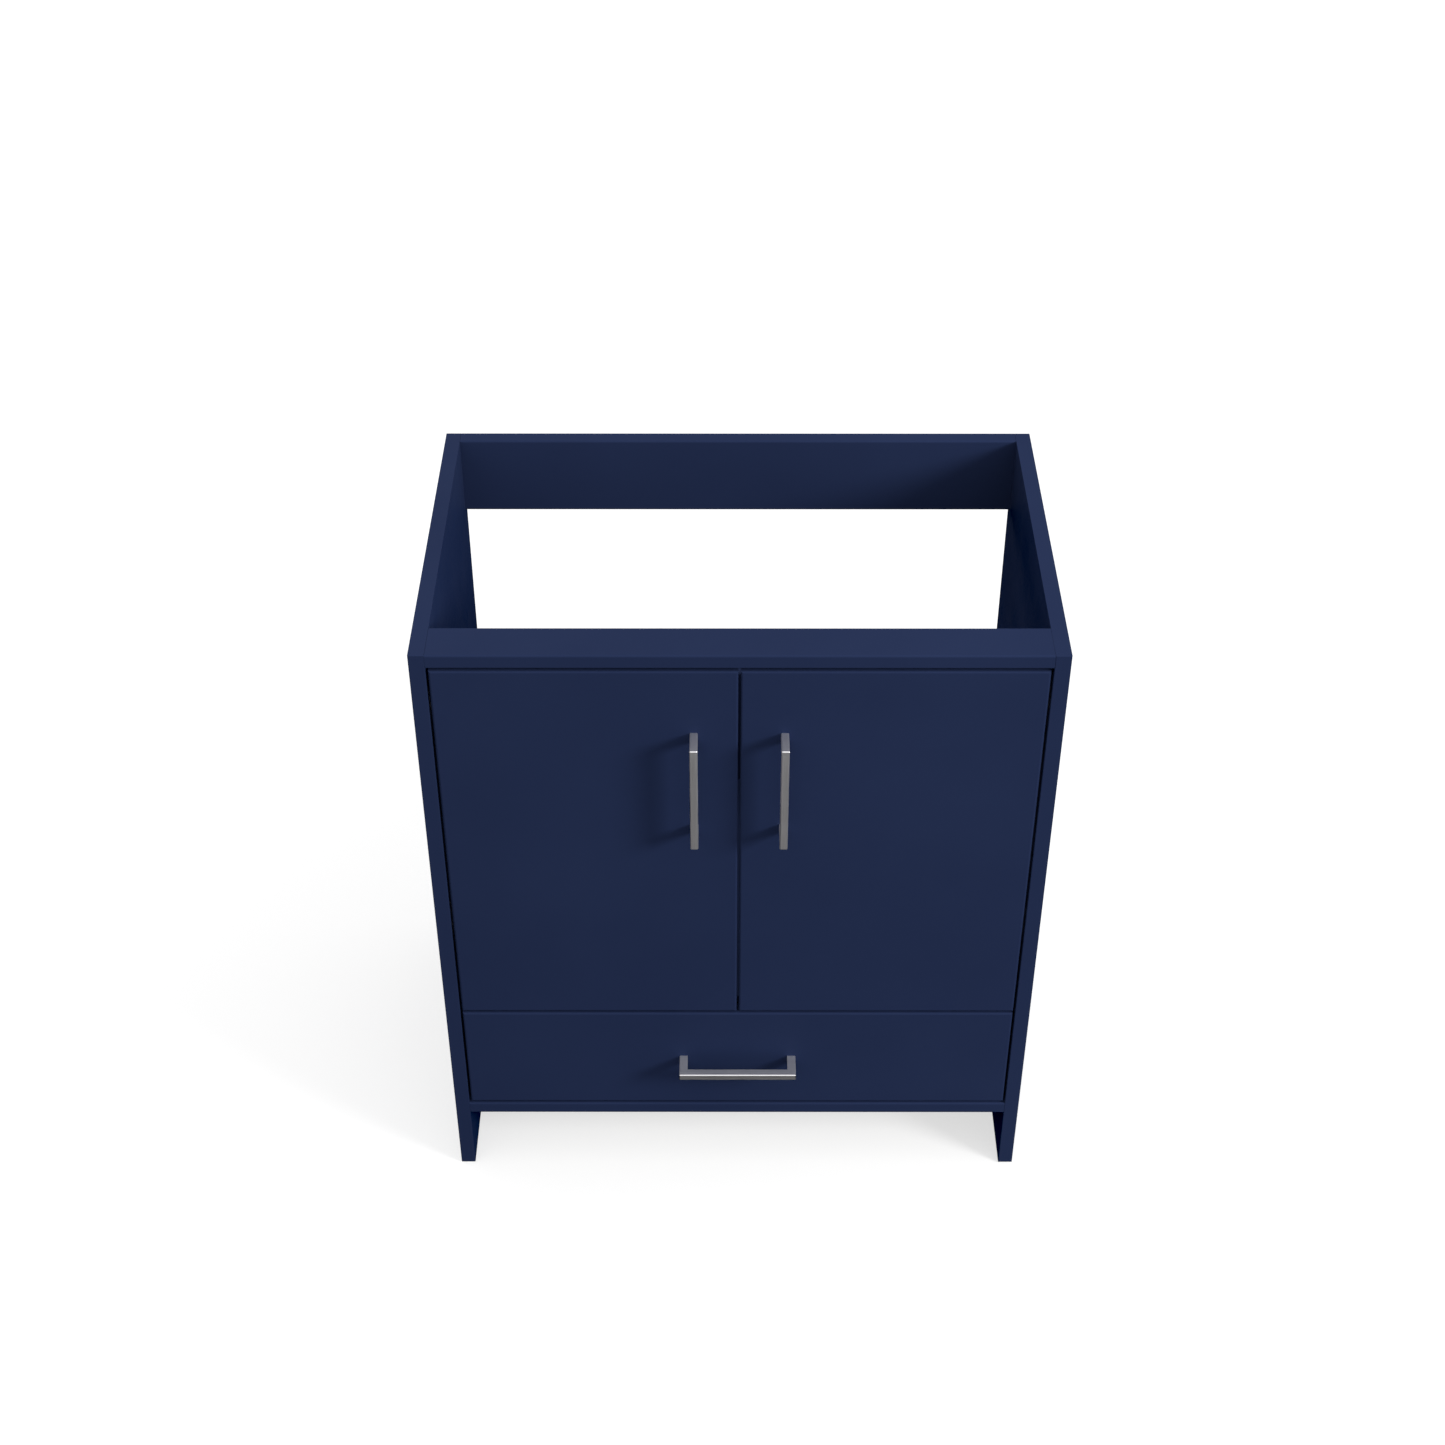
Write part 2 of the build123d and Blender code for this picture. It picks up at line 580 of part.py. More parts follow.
def make_hinge_screws():
    """Screws of the plates and arms as groups on the carcass, and of the cups on each door."""
    both = SIDES.values()
    plates = [seat for side in both for seat in hinge_seats(side, PLATE_HOLE_LINE, PLATE_HOLE_SPACING / 2)]
    make_screws("hinge_plate_screws", lifted(plates, PLATE_WING_THICKNESS), PLATE_SCREW)
    for name, line in (("fixing", FIXING_SCREW_LINE), ("adjusting", ADJUSTING_SCREW_LINE)):
        seats = [seat for side in both for seat in hinge_seats(side, line)]
        make_screws(f"hinge_{name}_screws", lifted(seats, ARM_TOP), ARM_SCREW)
    for name, side in SIDES.items():
        seats = [seat for middle in HINGE_HEIGHTS.values() for seat in cup_screw_seats(side, middle)]
        make_screws(f"{name}_cup_screws", seats, CUP_SCREW)


# ---- Pulls ----
def make_pull(name, x, z, along):
    """Square bar on two square posts, tapped for a screw in each post."""
    half = PULL_LENGTH / 2
    across = PULL_WIDTH / 2
    bar_back = FRONT - PULL_PROJECTION + PULL_BAR_DEPTH
    inner = half - PULL_POST
    x_half, z_half = (half, across) if along == "x" else (across, half)
    gap_x, gap_z = (inner, PULL_WIDTH) if along == "x" else (PULL_WIDTH, inner)
    with BuildPart() as pull:
        block((x - x_half, x + x_half), (FRONT - PULL_PROJECTION, FRONT), (z - z_half, z + z_half))
        outer = pull.edges().filter_by(lambda edge: edge.center().Y < FRONT - LOOSE)
        chamfer(outer, PULL_EDGE)
        block((x - gap_x, x + gap_x), (bar_back, FRONT), (z - gap_z, z + gap_z), mode=Mode.SUBTRACT)
        for seat in post_planes(x, z, along, FRONT):
            drill(seat.origin, seat.z_dir, PULL_SCREW_RADIUS + FIT, PULL_SCREW_BITE + HOLE_END)
    keep(pull, name)


def post_planes(x, z, along, y):
    """Planes behind a pull's two posts, facing into the cabinet."""
    step = POST_SPACING / 2
    offsets = [(-step, 0), (step, 0)] if along == "x" else [(0, -step), (0, step)]
    return [Plane(origin=(x + dx, y, z + dz), z_dir=REARWARD) for dx, dz in offsets]


def make_pull_screws(name, seats, wall):
    """Screws through a wall of the given thickness into a pull's posts."""
    make_screws(name, seats, (*PULL_SCREW_HEAD, PULL_SCREW_RADIUS, wall + PULL_SCREW_BITE))


def make_bumpers(name, places, radius):
    """Rubber buttons on the back of a door or of the drawer front."""
    with BuildPart() as bumpers:
        planes = [Plane(origin=(x, DOOR_BACK, z), z_dir=REARWARD) for x, z in places]
        stack(planes, radius, 0, BUMPER_THICKNESS)
        rim = bumpers.faces().filter_by(Axis.Y).group_by(Axis.Y)[-1].edges()
        fillet(rim, BUMPER_RIM)
    keep(bumpers, name)


# ---- Doors ----
def make_door(name, side):
    """Door slab with its cup pockets, its pull and what fastens them."""
    hinge_x = side * (INNER_X - SIDE_GAP)
    free_x = side * SIDE_GAP / 2
    pull_x = free_x + side * DOOR_PULL_INSET
    cup_x = hinge_x - side * (CUP_EDGE + CUP_RADIUS)
    posts = post_planes(pull_x, DOOR_PULL_Z, "z", DOOR_BACK)
    with BuildPart() as door:
        block((hinge_x, free_x), (FRONT, DOOR_BACK), (DOOR_LOW, DOOR_HIGH))
        fillet(front_edges(door), EDGE_RADIUS)
        for middle in HINGE_HEIGHTS.values():
            drill((cup_x, DOOR_BACK, middle), REARWARD, CUP_RADIUS + FIT, CUP_DEPTH)
            for seat in cup_screw_seats(side, middle):
                drill(seat.origin, seat.z_dir, CUP_SCREW[2] + FIT, CUP_SCREW[3])
        for post in posts:
            drill(post.origin, post.z_dir, PULL_SCREW_RADIUS + FIT, FRONT_THICKNESS)
    keep(door, f"{name}_door")
    make_pull(f"{name}_door_pull", pull_x, DOOR_PULL_Z, "z")
    make_pull_screws(f"{name}_pull_screws", posts, FRONT_THICKNESS)
    bumper_z = (DOOR_LOW + SHELF_HIGH) / 2
    make_bumpers(f"{name}_door_bumper", [(free_x + side * BUMPER_INSET, bumper_z)], DOOR_BUMPER_RADIUS)


# ---- Drawer slides ----
def make_channel(name, side, near, far, half_height, open_to_side):
    """One member of a slide, as a channel; near and far are distances from the side panel."""
    x_near = side * (INNER_X - near)
    x_far = side * (INNER_X - far)
    web_x, open_x = (x_far, x_near) if open_to_side else (x_near, x_far)
    web_inner = web_x + SLIDE_SHEET * (1 if open_x > web_x else -1)
    y = (SLIDE_FRONT, SLIDE_FRONT + SLIDE_LENGTH)
    inside = half_height - SLIDE_SHEET
    with BuildPart() as member:
        block((x_near, x_far), y, (SLIDE_Z - half_height, SLIDE_Z + half_height))
        fillet(member.edges().filter_by(Axis.Y).filter_by(lambda e: abs(e.center().X - web_x) < LOOSE),
               SLIDE_SHEET)
        block((web_inner, open_x), y, (SLIDE_Z - inside, SLIDE_Z + inside), mode=Mode.SUBTRACT)
        if not name.endswith("middle"):
            facing = 1 if web_inner > web_x else -1
            for seat in slide_seats(web_inner, facing):
                drill(seat.origin, seat.z_dir, SLIDE_SCREW[2] + FIT, SLIDE_SHEET)
    keep(member, name)


def make_slides():
    """Outer members on the side panels, middle members, and inner members on the drawer box."""
    outer_half = SLIDE_HEIGHT / 2
    middle_half = outer_half - SLIDE_SHEET - RACE_GAP
    inner_half = middle_half - SLIDE_SHEET - RACE_GAP
    for name, side in SIDES.items():
        make_channel(f"{name}_slide_outer", side, 0, OUTER_FLANGE, outer_half, False)
        make_channel(f"{name}_slide_middle", side, MIDDLE_START, MIDDLE_END, middle_half, False)
        make_channel(f"{name}_slide_inner", side, INNER_START, SLIDE_THICKNESS, inner_half, True)
    outer = [s for side in SIDES.values() for s in slide_seats(side * (INNER_X - SLIDE_SHEET), -side)]
    inner = [s for side in SIDES.values() for s in slide_seats(side * (BOX_X + SLIDE_SHEET), side)]
    head, height, shank, _ = SLIDE_SCREW
    make_screws("slide_outer_screws", outer, SLIDE_SCREW)
    make_screws("slide_inner_screws", inner, (head, height, shank, BOX_BOARD - SLIDE_SHEET))


# ---- Drawer ----
def box_corner_planes():
    """Dowel planes on the ends of the box's front and back boards."""
    ends = (DOOR_BACK + BOX_BOARD / 2, BOX_BACK - BOX_BOARD / 2)
    heights = (BOX_LOW + BOX_DOWEL_INSET, BOX_HIGH - BOX_DOWEL_INSET)
    return {
        side: [Plane(origin=(side * BOX_INNER_X, y, z), z_dir=(side, 0, 0)) for y in ends for z in heights]
        for side in SIDES.values()
    }


def front_screw_planes():
    """Planes inside the drawer where the front is screwed on."""
    y = DOOR_BACK + BOX_BOARD
    xs = (FRONT_SCREW_INSET_X - BOX_INNER_X, BOX_INNER_X - FRONT_SCREW_INSET_X)
    zs = (BOX_LOW + FRONT_SCREW_INSET_Z, BOX_HIGH - FRONT_SCREW_INSET_Z)
    return [Plane(origin=(x, y, z), z_dir=REARWARD) for x in xs for z in zs]


def make_drawer():
    """Drawer front, box, pull and what fastens them."""
    corners = box_corner_planes()
    screws_at = front_screw_planes()
    inside_y = DOOR_BACK + BOX_BOARD
    posts = post_planes(0, DRAWER_MIDDLE, "x", inside_y)
    front_x = INNER_X - SIDE_GAP
    groove_z = (BOX_LOW + GROOVE_LIFT, BOX_LOW + GROOVE_LIFT + BOTTOM_SHEET)
    groove_x = BOX_INNER_X + GROOVE_DEPTH
    groove_y = (inside_y - GROOVE_DEPTH, BOX_BACK)

    with BuildPart() as front:
        block((-front_x, front_x), (FRONT, DOOR_BACK), (DRAWER_LOW, DRAWER_HIGH))
        fillet(front_edges(front), EDGE_RADIUS)
        for post in post_planes(0, DRAWER_MIDDLE, "x", DOOR_BACK):
            drill(post.origin, post.z_dir, PULL_SCREW_RADIUS + FIT, FRONT_THICKNESS)
        for plane in screws_at:
            bite = FRONT_SCREW[3] - BOX_BOARD
            drill(plane.origin - Vector(0, BOX_BOARD, 0), plane.z_dir, FRONT_SCREW[2] + FIT, bite + HOLE_END)
    keep(front, "drawer_front")

    for name, side in SIDES.items():
        with BuildPart() as wall:
            block((side * BOX_INNER_X, side * BOX_X), (DOOR_BACK, BOX_BACK), (BOX_LOW, BOX_HIGH))
            block((side * BOX_INNER_X, side * groove_x), groove_y, groove_z, mode=Mode.SUBTRACT)
            for plane in corners[side]:
                drill(plane.origin, (-side, 0, 0), BOX_DOWEL_RADIUS + FIT, BOX_DOWEL_IN_SIDE + HOLE_END)
            for seat in slide_seats(side * BOX_X, side):
                drill(seat.origin, seat.z_dir, SLIDE_SCREW[2] + FIT, BOX_BOARD - SLIDE_SHEET)
        keep(wall, f"drawer_{name}_wall")

    for name, y, low in (
        ("drawer_sub_front", (DOOR_BACK, inside_y), BOX_LOW),
        ("drawer_back", (BOX_BACK - BOX_BOARD, BOX_BACK), groove_z[1]),
    ):
        with BuildPart() as end:
            block((-BOX_INNER_X, BOX_INNER_X), y, (low, BOX_HIGH))
            for side in SIDES.values():
                for plane in corners[side]:
                    if y[0] < plane.origin.Y < y[1]:
                        drill(plane.origin, plane.z_dir, BOX_DOWEL_RADIUS + FIT, BOX_DOWEL_IN_END + HOLE_END)
            if name == "drawer_sub_front":
                block((-BOX_INNER_X, BOX_INNER_X), (groove_y[0], y[1]), groove_z, mode=Mode.SUBTRACT)
                for plane in screws_at:
                    drill(plane.origin, plane.z_dir, FRONT_SCREW[2] + FIT, BOX_BOARD)
                for post in posts:
                    drill(post.origin, post.z_dir, PULL_SCREW_RADIUS + FIT, BOX_BOARD)
        keep(end, name)

    with BuildPart() as bottom:
        block((FIT - groove_x, groove_x - FIT), (groove_y[0] + FIT, BOX_BACK),
              (groove_z[0] + FIT, groove_z[1]))
    keep(bottom, "drawer_bottom")

    with BuildPart() as dowels:
        planes = [plane for side in corners.values() for plane in side]
        stack(planes, BOX_DOWEL_RADIUS, -BOX_DOWEL_IN_END, BOX_DOWEL_IN_SIDE)
    keep(dowels, "drawer_dowels")

    make_pull("drawer_pull", 0, DRAWER_MIDDLE, "x")
    make_pull_screws("drawer_pull_screws", posts, FRONT_THICKNESS + BOX_BOARD)
    make_screws("drawer_front_screws", screws_at, FRONT_SCREW)
    bumper_z = DRAWER_HIGH - DRAWER_BUMPER_RADIUS - LOOSE
    bumper_x = front_x - NOTCH_WIDTH - BUMPER_INSET
    make_bumpers("drawer_bumpers", [(-bumper_x, bumper_z), (bumper_x, bumper_z)], DRAWER_BUMPER_RADIUS)


make_side_panels()
make_carcass_boards()
make_knock_down_fittings()
make_glides()
for side_name in SIDES:
    for level in HINGE_HEIGHTS:
        make_hinge(side_name, level)
make_hinge_screws()
for side_name, side_sign in SIDES.items():
    make_door(side_name, side_sign)
make_slides()
make_drawer()
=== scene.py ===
# %% [markdown]
# # A bathroom vanity cabinet, dressed in Blender
#
# The cabinet's boards, doors, drawer, hinges and slides are already exact solids. This lesson loads
# them, gives every piece a finish worked out by nodes, adds the small things that repeat, such as
# screws and bearing balls, and sets up a plain studio. Lengths are in metres throughout.

# %% Load the solids
import json
import math

import bmesh
import bpy
from mathutils import Matrix, Vector


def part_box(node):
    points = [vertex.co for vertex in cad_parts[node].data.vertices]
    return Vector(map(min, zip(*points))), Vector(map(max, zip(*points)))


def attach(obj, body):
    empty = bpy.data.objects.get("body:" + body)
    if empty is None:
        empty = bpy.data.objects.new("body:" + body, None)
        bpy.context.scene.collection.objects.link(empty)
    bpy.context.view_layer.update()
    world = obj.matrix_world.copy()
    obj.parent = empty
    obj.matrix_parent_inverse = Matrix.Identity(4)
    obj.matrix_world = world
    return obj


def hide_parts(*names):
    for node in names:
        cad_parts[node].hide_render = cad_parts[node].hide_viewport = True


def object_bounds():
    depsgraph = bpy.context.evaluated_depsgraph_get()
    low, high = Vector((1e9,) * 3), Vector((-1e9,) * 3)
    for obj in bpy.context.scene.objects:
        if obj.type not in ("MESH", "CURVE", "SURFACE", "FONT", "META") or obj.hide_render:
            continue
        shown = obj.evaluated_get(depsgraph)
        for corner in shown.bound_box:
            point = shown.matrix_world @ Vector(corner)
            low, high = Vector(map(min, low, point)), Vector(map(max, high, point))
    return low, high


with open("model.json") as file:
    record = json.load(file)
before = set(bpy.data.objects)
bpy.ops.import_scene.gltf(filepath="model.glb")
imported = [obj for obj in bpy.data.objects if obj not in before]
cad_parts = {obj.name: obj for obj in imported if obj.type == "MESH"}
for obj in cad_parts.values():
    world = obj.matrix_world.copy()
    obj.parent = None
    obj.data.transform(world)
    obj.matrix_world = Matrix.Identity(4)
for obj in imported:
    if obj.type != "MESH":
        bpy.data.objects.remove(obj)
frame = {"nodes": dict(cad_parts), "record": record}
nodes = frame["nodes"]
cad_low, cad_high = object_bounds()
MM = 0.001
print("loaded", len(nodes), "nodes,", [round(s, 4) for s in cad_high - cad_low], "m")

# %% [markdown]
# ## Colour
#
# Blender's default view softens bright colours like film does. A product picture on white looks
# cleaner with the Standard view, which shows each colour as the light makes it.

# %% Plain view of colours
bpy.context.scene.view_settings.view_transform = "Standard"
print("view transform:", bpy.context.scene.view_settings.view_transform)

# %% [markdown]
# ## Camera
#
# The picture is taken from above and in front, with a fairly long lens, so the uprights lean
# together a little towards the floor. The place is given from the front of the cabinet: how far
# away, how high, and how much to the left.

# %% Camera
CAMERA_AWAY = 2.08738
CAMERA_HIGH = 2.47076
CAMERA_LEFT = 0.01808
CAMERA_TILT = 51.062         # degrees up from looking straight down
CAMERA_TURN = 0.047
CAMERA_LENS = 57.09          # mm, for a sensor of the width below
SENSOR_WIDTH = 36

front_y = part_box("left_door")[0].y


def make_camera():
    """Camera at its place in front of the cabinet."""
    data = bpy.data.cameras.new("camera")
    data.lens = CAMERA_LENS
    data.sensor_width = SENSOR_WIDTH
    camera = bpy.data.objects.new("camera", data)
    camera.location = (-CAMERA_LEFT, front_y - CAMERA_AWAY, CAMERA_HIGH)
    camera.rotation_euler = (math.radians(CAMERA_TILT), 0, math.radians(CAMERA_TURN))
    bpy.context.scene.collection.objects.link(camera)
    bpy.context.scene.camera = camera


make_camera()
print("camera", CAMERA_AWAY, "m in front and", CAMERA_HIGH, "m high")

# %% [markdown]
# ## Sky
#
# The light is a soft sky, brighter overhead and in front than below and behind. A picture wrapped
# round the scene could light it too, but a rule is easier to tune: the sky's brightness is a dot
# product of the direction with a slope, so each number brightens one side.

# %% Sky
SKY_LEVEL = 0.43             # middle brightness
SKY_SLOPE = (0, -0.20, 0.82)  # how the brightness grows along each axis


def make_sky():
    """World whose brightness grows evenly in one direction."""
    world = bpy.data.worlds.new("studio")
    world.use_nodes = True
    tree = world.node_tree
    direction = tree.nodes.new("ShaderNodeTexCoord")
    along = tree.nodes.new("ShaderNodeVectorMath")
    along.operation = "DOT_PRODUCT"
    along.inputs[1].default_value = SKY_SLOPE
    level = tree.nodes.new("ShaderNodeMath")
    level.inputs[1].default_value = SKY_LEVEL
    tree.links.new(direction.outputs["Generated"], along.inputs[0])
    tree.links.new(along.outputs["Value"], level.inputs[0])
    tree.links.new(level.outputs[0], tree.nodes["Background"].inputs["Strength"])
    tree.nodes["Background"].inputs["Color"].default_value = (1, 1, 1, 1)
    bpy.context.scene.world = world


make_sky()
print("sky brightness", SKY_LEVEL, "rising along", SKY_SLOPE)

# %% [markdown]
# ## Lamps
#
# The sky alone could light everything, but then the pulls would throw no shadow. So one lamp stands
# to the right, in front and above, and a weak one behind keeps the back readable. Both are disks: a
# disk's size sets how soft its shadows are, and Track To points it at the cabinet.

# %% Lamps
KEY_DIRECTION = Vector((1.0, -0.6, 0.54)).normalized()
KEY_DISTANCE = 4.5
KEY_SIZE = 1.3
KEY_POWER = 145
BACK_DIRECTION = Vector((-0.35, 1.0, 0.05)).normalized()
BACK_SIZE = 2.5
BACK_POWER = 55


def make_lamp(name, direction, distance, size, power, target):
    """Round area lamp that looks at a point from a direction."""
    data = bpy.data.lights.new(name, "AREA")
    data.shape = "DISK"
    data.size = size
    data.energy = power
    lamp = bpy.data.objects.new(name, data)
    lamp.location = target + direction * distance
    lamp.rotation_euler = (-direction).to_track_quat("-Z", "Y").to_euler()
    bpy.context.scene.collection.objects.link(lamp)
    return lamp


middle = (cad_low + cad_high) / 2
key = make_lamp("key_lamp", KEY_DIRECTION, KEY_DISTANCE, KEY_SIZE, KEY_POWER, middle)
back = make_lamp("back_lamp", BACK_DIRECTION, KEY_DISTANCE, BACK_SIZE, BACK_POWER, middle)
print("lamps at", [[round(place, 2) for place in lamp.location] for lamp in (key, back)])

# %% [markdown]
# ## Floor
#
# One large square gives the white ground. It is there for the camera alone: a white floor that threw
# its light back up would wash out the inside of an open cabinet, so its diffuse and glossy rays are
# turned off. A little glow of its own keeps its shadows pale.

# %% Floor
FLOOR_SIZE = 200
FLOOR_COLOUR = (0.40, 0.40, 0.40, 1)
FLOOR_ROUGHNESS = 0.9
FLOOR_GLOW = 0.62            # lifts the shadows, as on a light table


def make_floor():
    """Pale floor that the camera sees and that takes shadows, but that throws no light back."""
    mesh = bpy.data.meshes.new("floor")
    half = FLOOR_SIZE / 2
    corners = [(-half, -half, 0), (half, -half, 0), (half, half, 0), (-half, half, 0)]
    mesh.from_pydata(corners, [], [(0, 1, 2, 3)])
    floor = bpy.data.objects.new("floor", mesh)
    floor.visible_diffuse = False
    floor.visible_glossy = False
    bpy.context.scene.collection.objects.link(floor)
    paint = bpy.data.materials.new("floor_paint")
    paint.use_nodes = True
    shader = paint.node_tree.nodes["Principled BSDF"]
    shader.inputs["Base Color"].default_value = FLOOR_COLOUR
    shader.inputs["Roughness"].default_value = FLOOR_ROUGHNESS
    shader.inputs["Emission Color"].default_value = (1, 1, 1, 1)
    shader.inputs["Emission Strength"].default_value = FLOOR_GLOW
    mesh.materials.append(paint)


make_floor()
print("floor", FLOOR_SIZE, "m wide")

# %% [markdown]
# ## Building materials from nodes
#
# Each finish is a small tree of nodes around one Principled shader. A helper adds a node and joins
# its inputs, so that a finish reads like a recipe. Patterns use Object coordinates: they are metres
# on the object, so a noise of scale 500 has features of about two millimetres.

# %% Node helpers
def new_finish(name):
    """Material with a Principled shader; returns the material, its tree and the shader."""
    finish = bpy.data.materials.new(name)
    finish.use_nodes = True
    tree = finish.node_tree
    return finish, tree, tree.nodes["Principled BSDF"]


def add(tree, kind, inputs=None, **settings):
    """Add a node. Inputs may be plain values or sockets of other nodes."""
    node = tree.nodes.new(kind)
    for key, value in settings.items():
        setattr(node, key, value)
    for key, value in (inputs or {}).items():
        if isinstance(value, bpy.types.NodeSocket):
            tree.links.new(value, node.inputs[key])
        else:
            node.inputs[key].default_value = value
    return node


def object_place(tree, scale=(1, 1, 1), turn=(0, 0, 0)):
    """Object coordinates, stretched or turned."""
    coordinates = add(tree, "ShaderNodeTexCoord")
    mapping = add(tree, "ShaderNodeMapping", {"Vector": coordinates.outputs["Object"], "Scale": scale,
                                              "Rotation": turn})
    return mapping.outputs["Vector"]


def noise(tree, place, scale, detail=3.0, roughness=0.5, distortion=0.0):
    """Soft random pattern between 0 and 1."""
    node = add(tree, "ShaderNodeTexNoise", {"Vector": place, "Scale": scale, "Detail": detail,
                                            "Roughness": roughness, "Distortion": distortion})
    return node.outputs["Fac"]


def remap(tree, value, low, high, from_low=0.0, from_high=1.0):
    """Spread a value over a new range."""
    node = add(tree, "ShaderNodeMapRange", {"Value": value, "From Min": from_low, "From Max": from_high,
                                            "To Min": low, "To Max": high})
    return node.outputs["Result"]


def mix_colours(tree, share, first, second):
    """Colour between two colours, each a plain colour or a socket."""
    node = tree.nodes.new("ShaderNodeMix")
    node.data_type = "RGBA"
    colour_inputs = [socket for socket in node.inputs if socket.type == "RGBA"]
    pairs = [(node.inputs[0], share), (colour_inputs[0], first), (colour_inputs[1], second)]
    for socket, value in pairs:
        if isinstance(value, bpy.types.NodeSocket):
            tree.links.new(value, socket)
        else:
            socket.default_value = value
    return next(socket for socket in node.outputs if socket.type == "RGBA")


def add_bump(tree, shader, height, distance, strength=1.0):
    """Small relief: distance is its depth in metres."""
    bump = add(tree, "ShaderNodeBump", {"Height": height, "Distance": distance, "Strength": strength})
    tree.links.new(bump.outputs["Normal"], shader.inputs["Normal"])


# %% [markdown]
# ## Navy paint
#
# The boards are sprayed with a satin navy lacquer. Sprayed paint isn't perfectly flat: it dries with
# a faint pebbled skin, called orange peel, and its colour and gloss drift a little over a board. All
# three are soft noises: one large for the drift, one fine for the skin, and one between for the gloss.

# %% Navy paint
NAVY = (0.0149, 0.0240, 0.0650, 1)
NAVY_WORN = (0.0173, 0.0276, 0.0730, 1)
PAINT_ROUGHNESS = (0.60, 0.72)
PAINT_SHINE = 0.022          # share of a plain lacquer's mirror light
DRIFT_SCALE = 3.5
GLOSS_SCALE = 26
PEEL_SCALE = 620
PEEL_DEPTH = 0.06 * MM


def make_navy_paint():
    """Satin lacquer with orange peel."""
    finish, tree, shader = new_finish("navy_paint")
    place = object_place(tree)
    drift = remap(tree, noise(tree, place, DRIFT_SCALE, detail=4), 0, 1, 0.3, 0.7)
    colour = mix_colours(tree, drift, NAVY, NAVY_WORN)
    tree.links.new(colour, shader.inputs["Base Color"])
    gloss = remap(tree, noise(tree, place, GLOSS_SCALE, detail=5), *PAINT_ROUGHNESS, 0.25, 0.75)
    tree.links.new(gloss, shader.inputs["Roughness"])
    shader.inputs["Specular IOR Level"].default_value = PAINT_SHINE
    peel = noise(tree, place, PEEL_SCALE, detail=2, roughness=0.4)
    add_bump(tree, shader, peel, PEEL_DEPTH, 0.5)
    return finish


navy_paint = make_navy_paint()
print("finish:", navy_paint.name)

# %% [markdown]
# ## Satin nickel
#
# The pulls are square bars brushed along their length and plated. Brushing leaves fine straight
# scratches, so the noise is squeezed across the bar and stretched along it. A door pull stands
# upright and the drawer pull lies level, so the direction is an argument.

# %% Brushed and plated metals
NICKEL = (0.85, 0.84, 0.86, 1)
NICKEL_SCRATCHED = (0.76, 0.75, 0.77, 1)
NICKEL_ROUGHNESS = (0.36, 0.48)
NICKEL_METALLIC = 0.92
BRUSH_ACROSS = 2600
BRUSH_ALONG = 22
SCRATCH_DEPTH = 0.01 * MM


def make_brushed_nickel(name, along):
    """Metal with scratches along one axis: 0, 1 or 2 for X, Y or Z."""
    finish, tree, shader = new_finish(name)
    scale = [BRUSH_ACROSS] * 3
    scale[along] = BRUSH_ALONG
    scratches = noise(tree, object_place(tree, scale), 1.0, detail=2)
    cloud = noise(tree, object_place(tree), 40, detail=3)
    roughness = add(tree, "ShaderNodeMath", {0: remap(tree, scratches, *NICKEL_ROUGHNESS, 0.3, 0.7),
                                             1: remap(tree, cloud, -0.03, 0.05)}, operation="ADD")
    tree.links.new(roughness.outputs[0], shader.inputs["Roughness"])
    shade = mix_colours(tree, scratches, NICKEL_SCRATCHED, NICKEL)
    tree.links.new(shade, shader.inputs["Base Color"])
    shader.inputs["Metallic"].default_value = NICKEL_METALLIC
    add_bump(tree, shader, scratches, SCRATCH_DEPTH, 0.35)
    return finish


ROLLED_SCALE = (1400, 60, 1400)  # marks of rolling run along Y


def make_plated_steel(name, light, dark, roughness, scale):
    """Pressed sheet steel with a thin plating that clouds a little."""
    finish, tree, shader = new_finish(name)
    place = object_place(tree)
    cloud = noise(tree, place, scale, detail=5, distortion=0.4)
    shade = mix_colours(tree, remap(tree, cloud, 0, 1, 0.3, 0.7), dark, light)
    tree.links.new(shade, shader.inputs["Base Color"])
    tree.links.new(remap(tree, cloud, *roughness, 0.3, 0.7), shader.inputs["Roughness"])
    shader.inputs["Metallic"].default_value = 1.0
    rolled = noise(tree, object_place(tree, ROLLED_SCALE), 1.0, detail=2)
    add_bump(tree, shader, rolled, SCRATCH_DEPTH, 0.3)
    return finish


upright_nickel = make_brushed_nickel("satin_nickel_upright", 2)
level_nickel = make_brushed_nickel("satin_nickel_level", 0)
hinge_nickel = make_plated_steel("nickel_plate", (0.68, 0.66, 0.63, 1), (0.60, 0.58, 0.55, 1),
                                 (0.30, 0.40), 120)
slide_zinc = make_plated_steel("zinc_plate", (0.62, 0.64, 0.68, 1), (0.55, 0.57, 0.60, 1),
                               (0.44, 0.54), 70)
cast_zinc = make_plated_steel("cast_zinc", (0.50, 0.51, 0.53, 1), (0.38, 0.39, 0.41, 1),
                              (0.42, 0.60), 300)
metals = (upright_nickel, level_nickel, hinge_nickel, slide_zinc, cast_zinc)
print("metals:", [metal.name for metal in metals])

# %% [markdown]
# ## Birch plywood and beech
#
# The drawer box is birch plywood. Its faces show long pale grain, and its cut top edges show the
# plies as thin light and dark lines. The grain is a noise stretched along the board with a wave laid
# over it; the plies are stripes across the board's thickness, shown only where the surface looks up.

# %% Plywood and dowel wood
BIRCH_LIGHT = (0.74, 0.56, 0.36, 1)
BIRCH_DARK = (0.56, 0.38, 0.21, 1)
STRIPE_LIGHT = (0.70, 0.52, 0.33, 1)
STRIPE_DARK = (0.36, 0.22, 0.11, 1)
PLY = 1.33 * MM
CUT_EDGE_TILT = 0.7          # a surface whose normal's height is over this shows its plies
FIBRE_DEPTH = 0.05 * MM


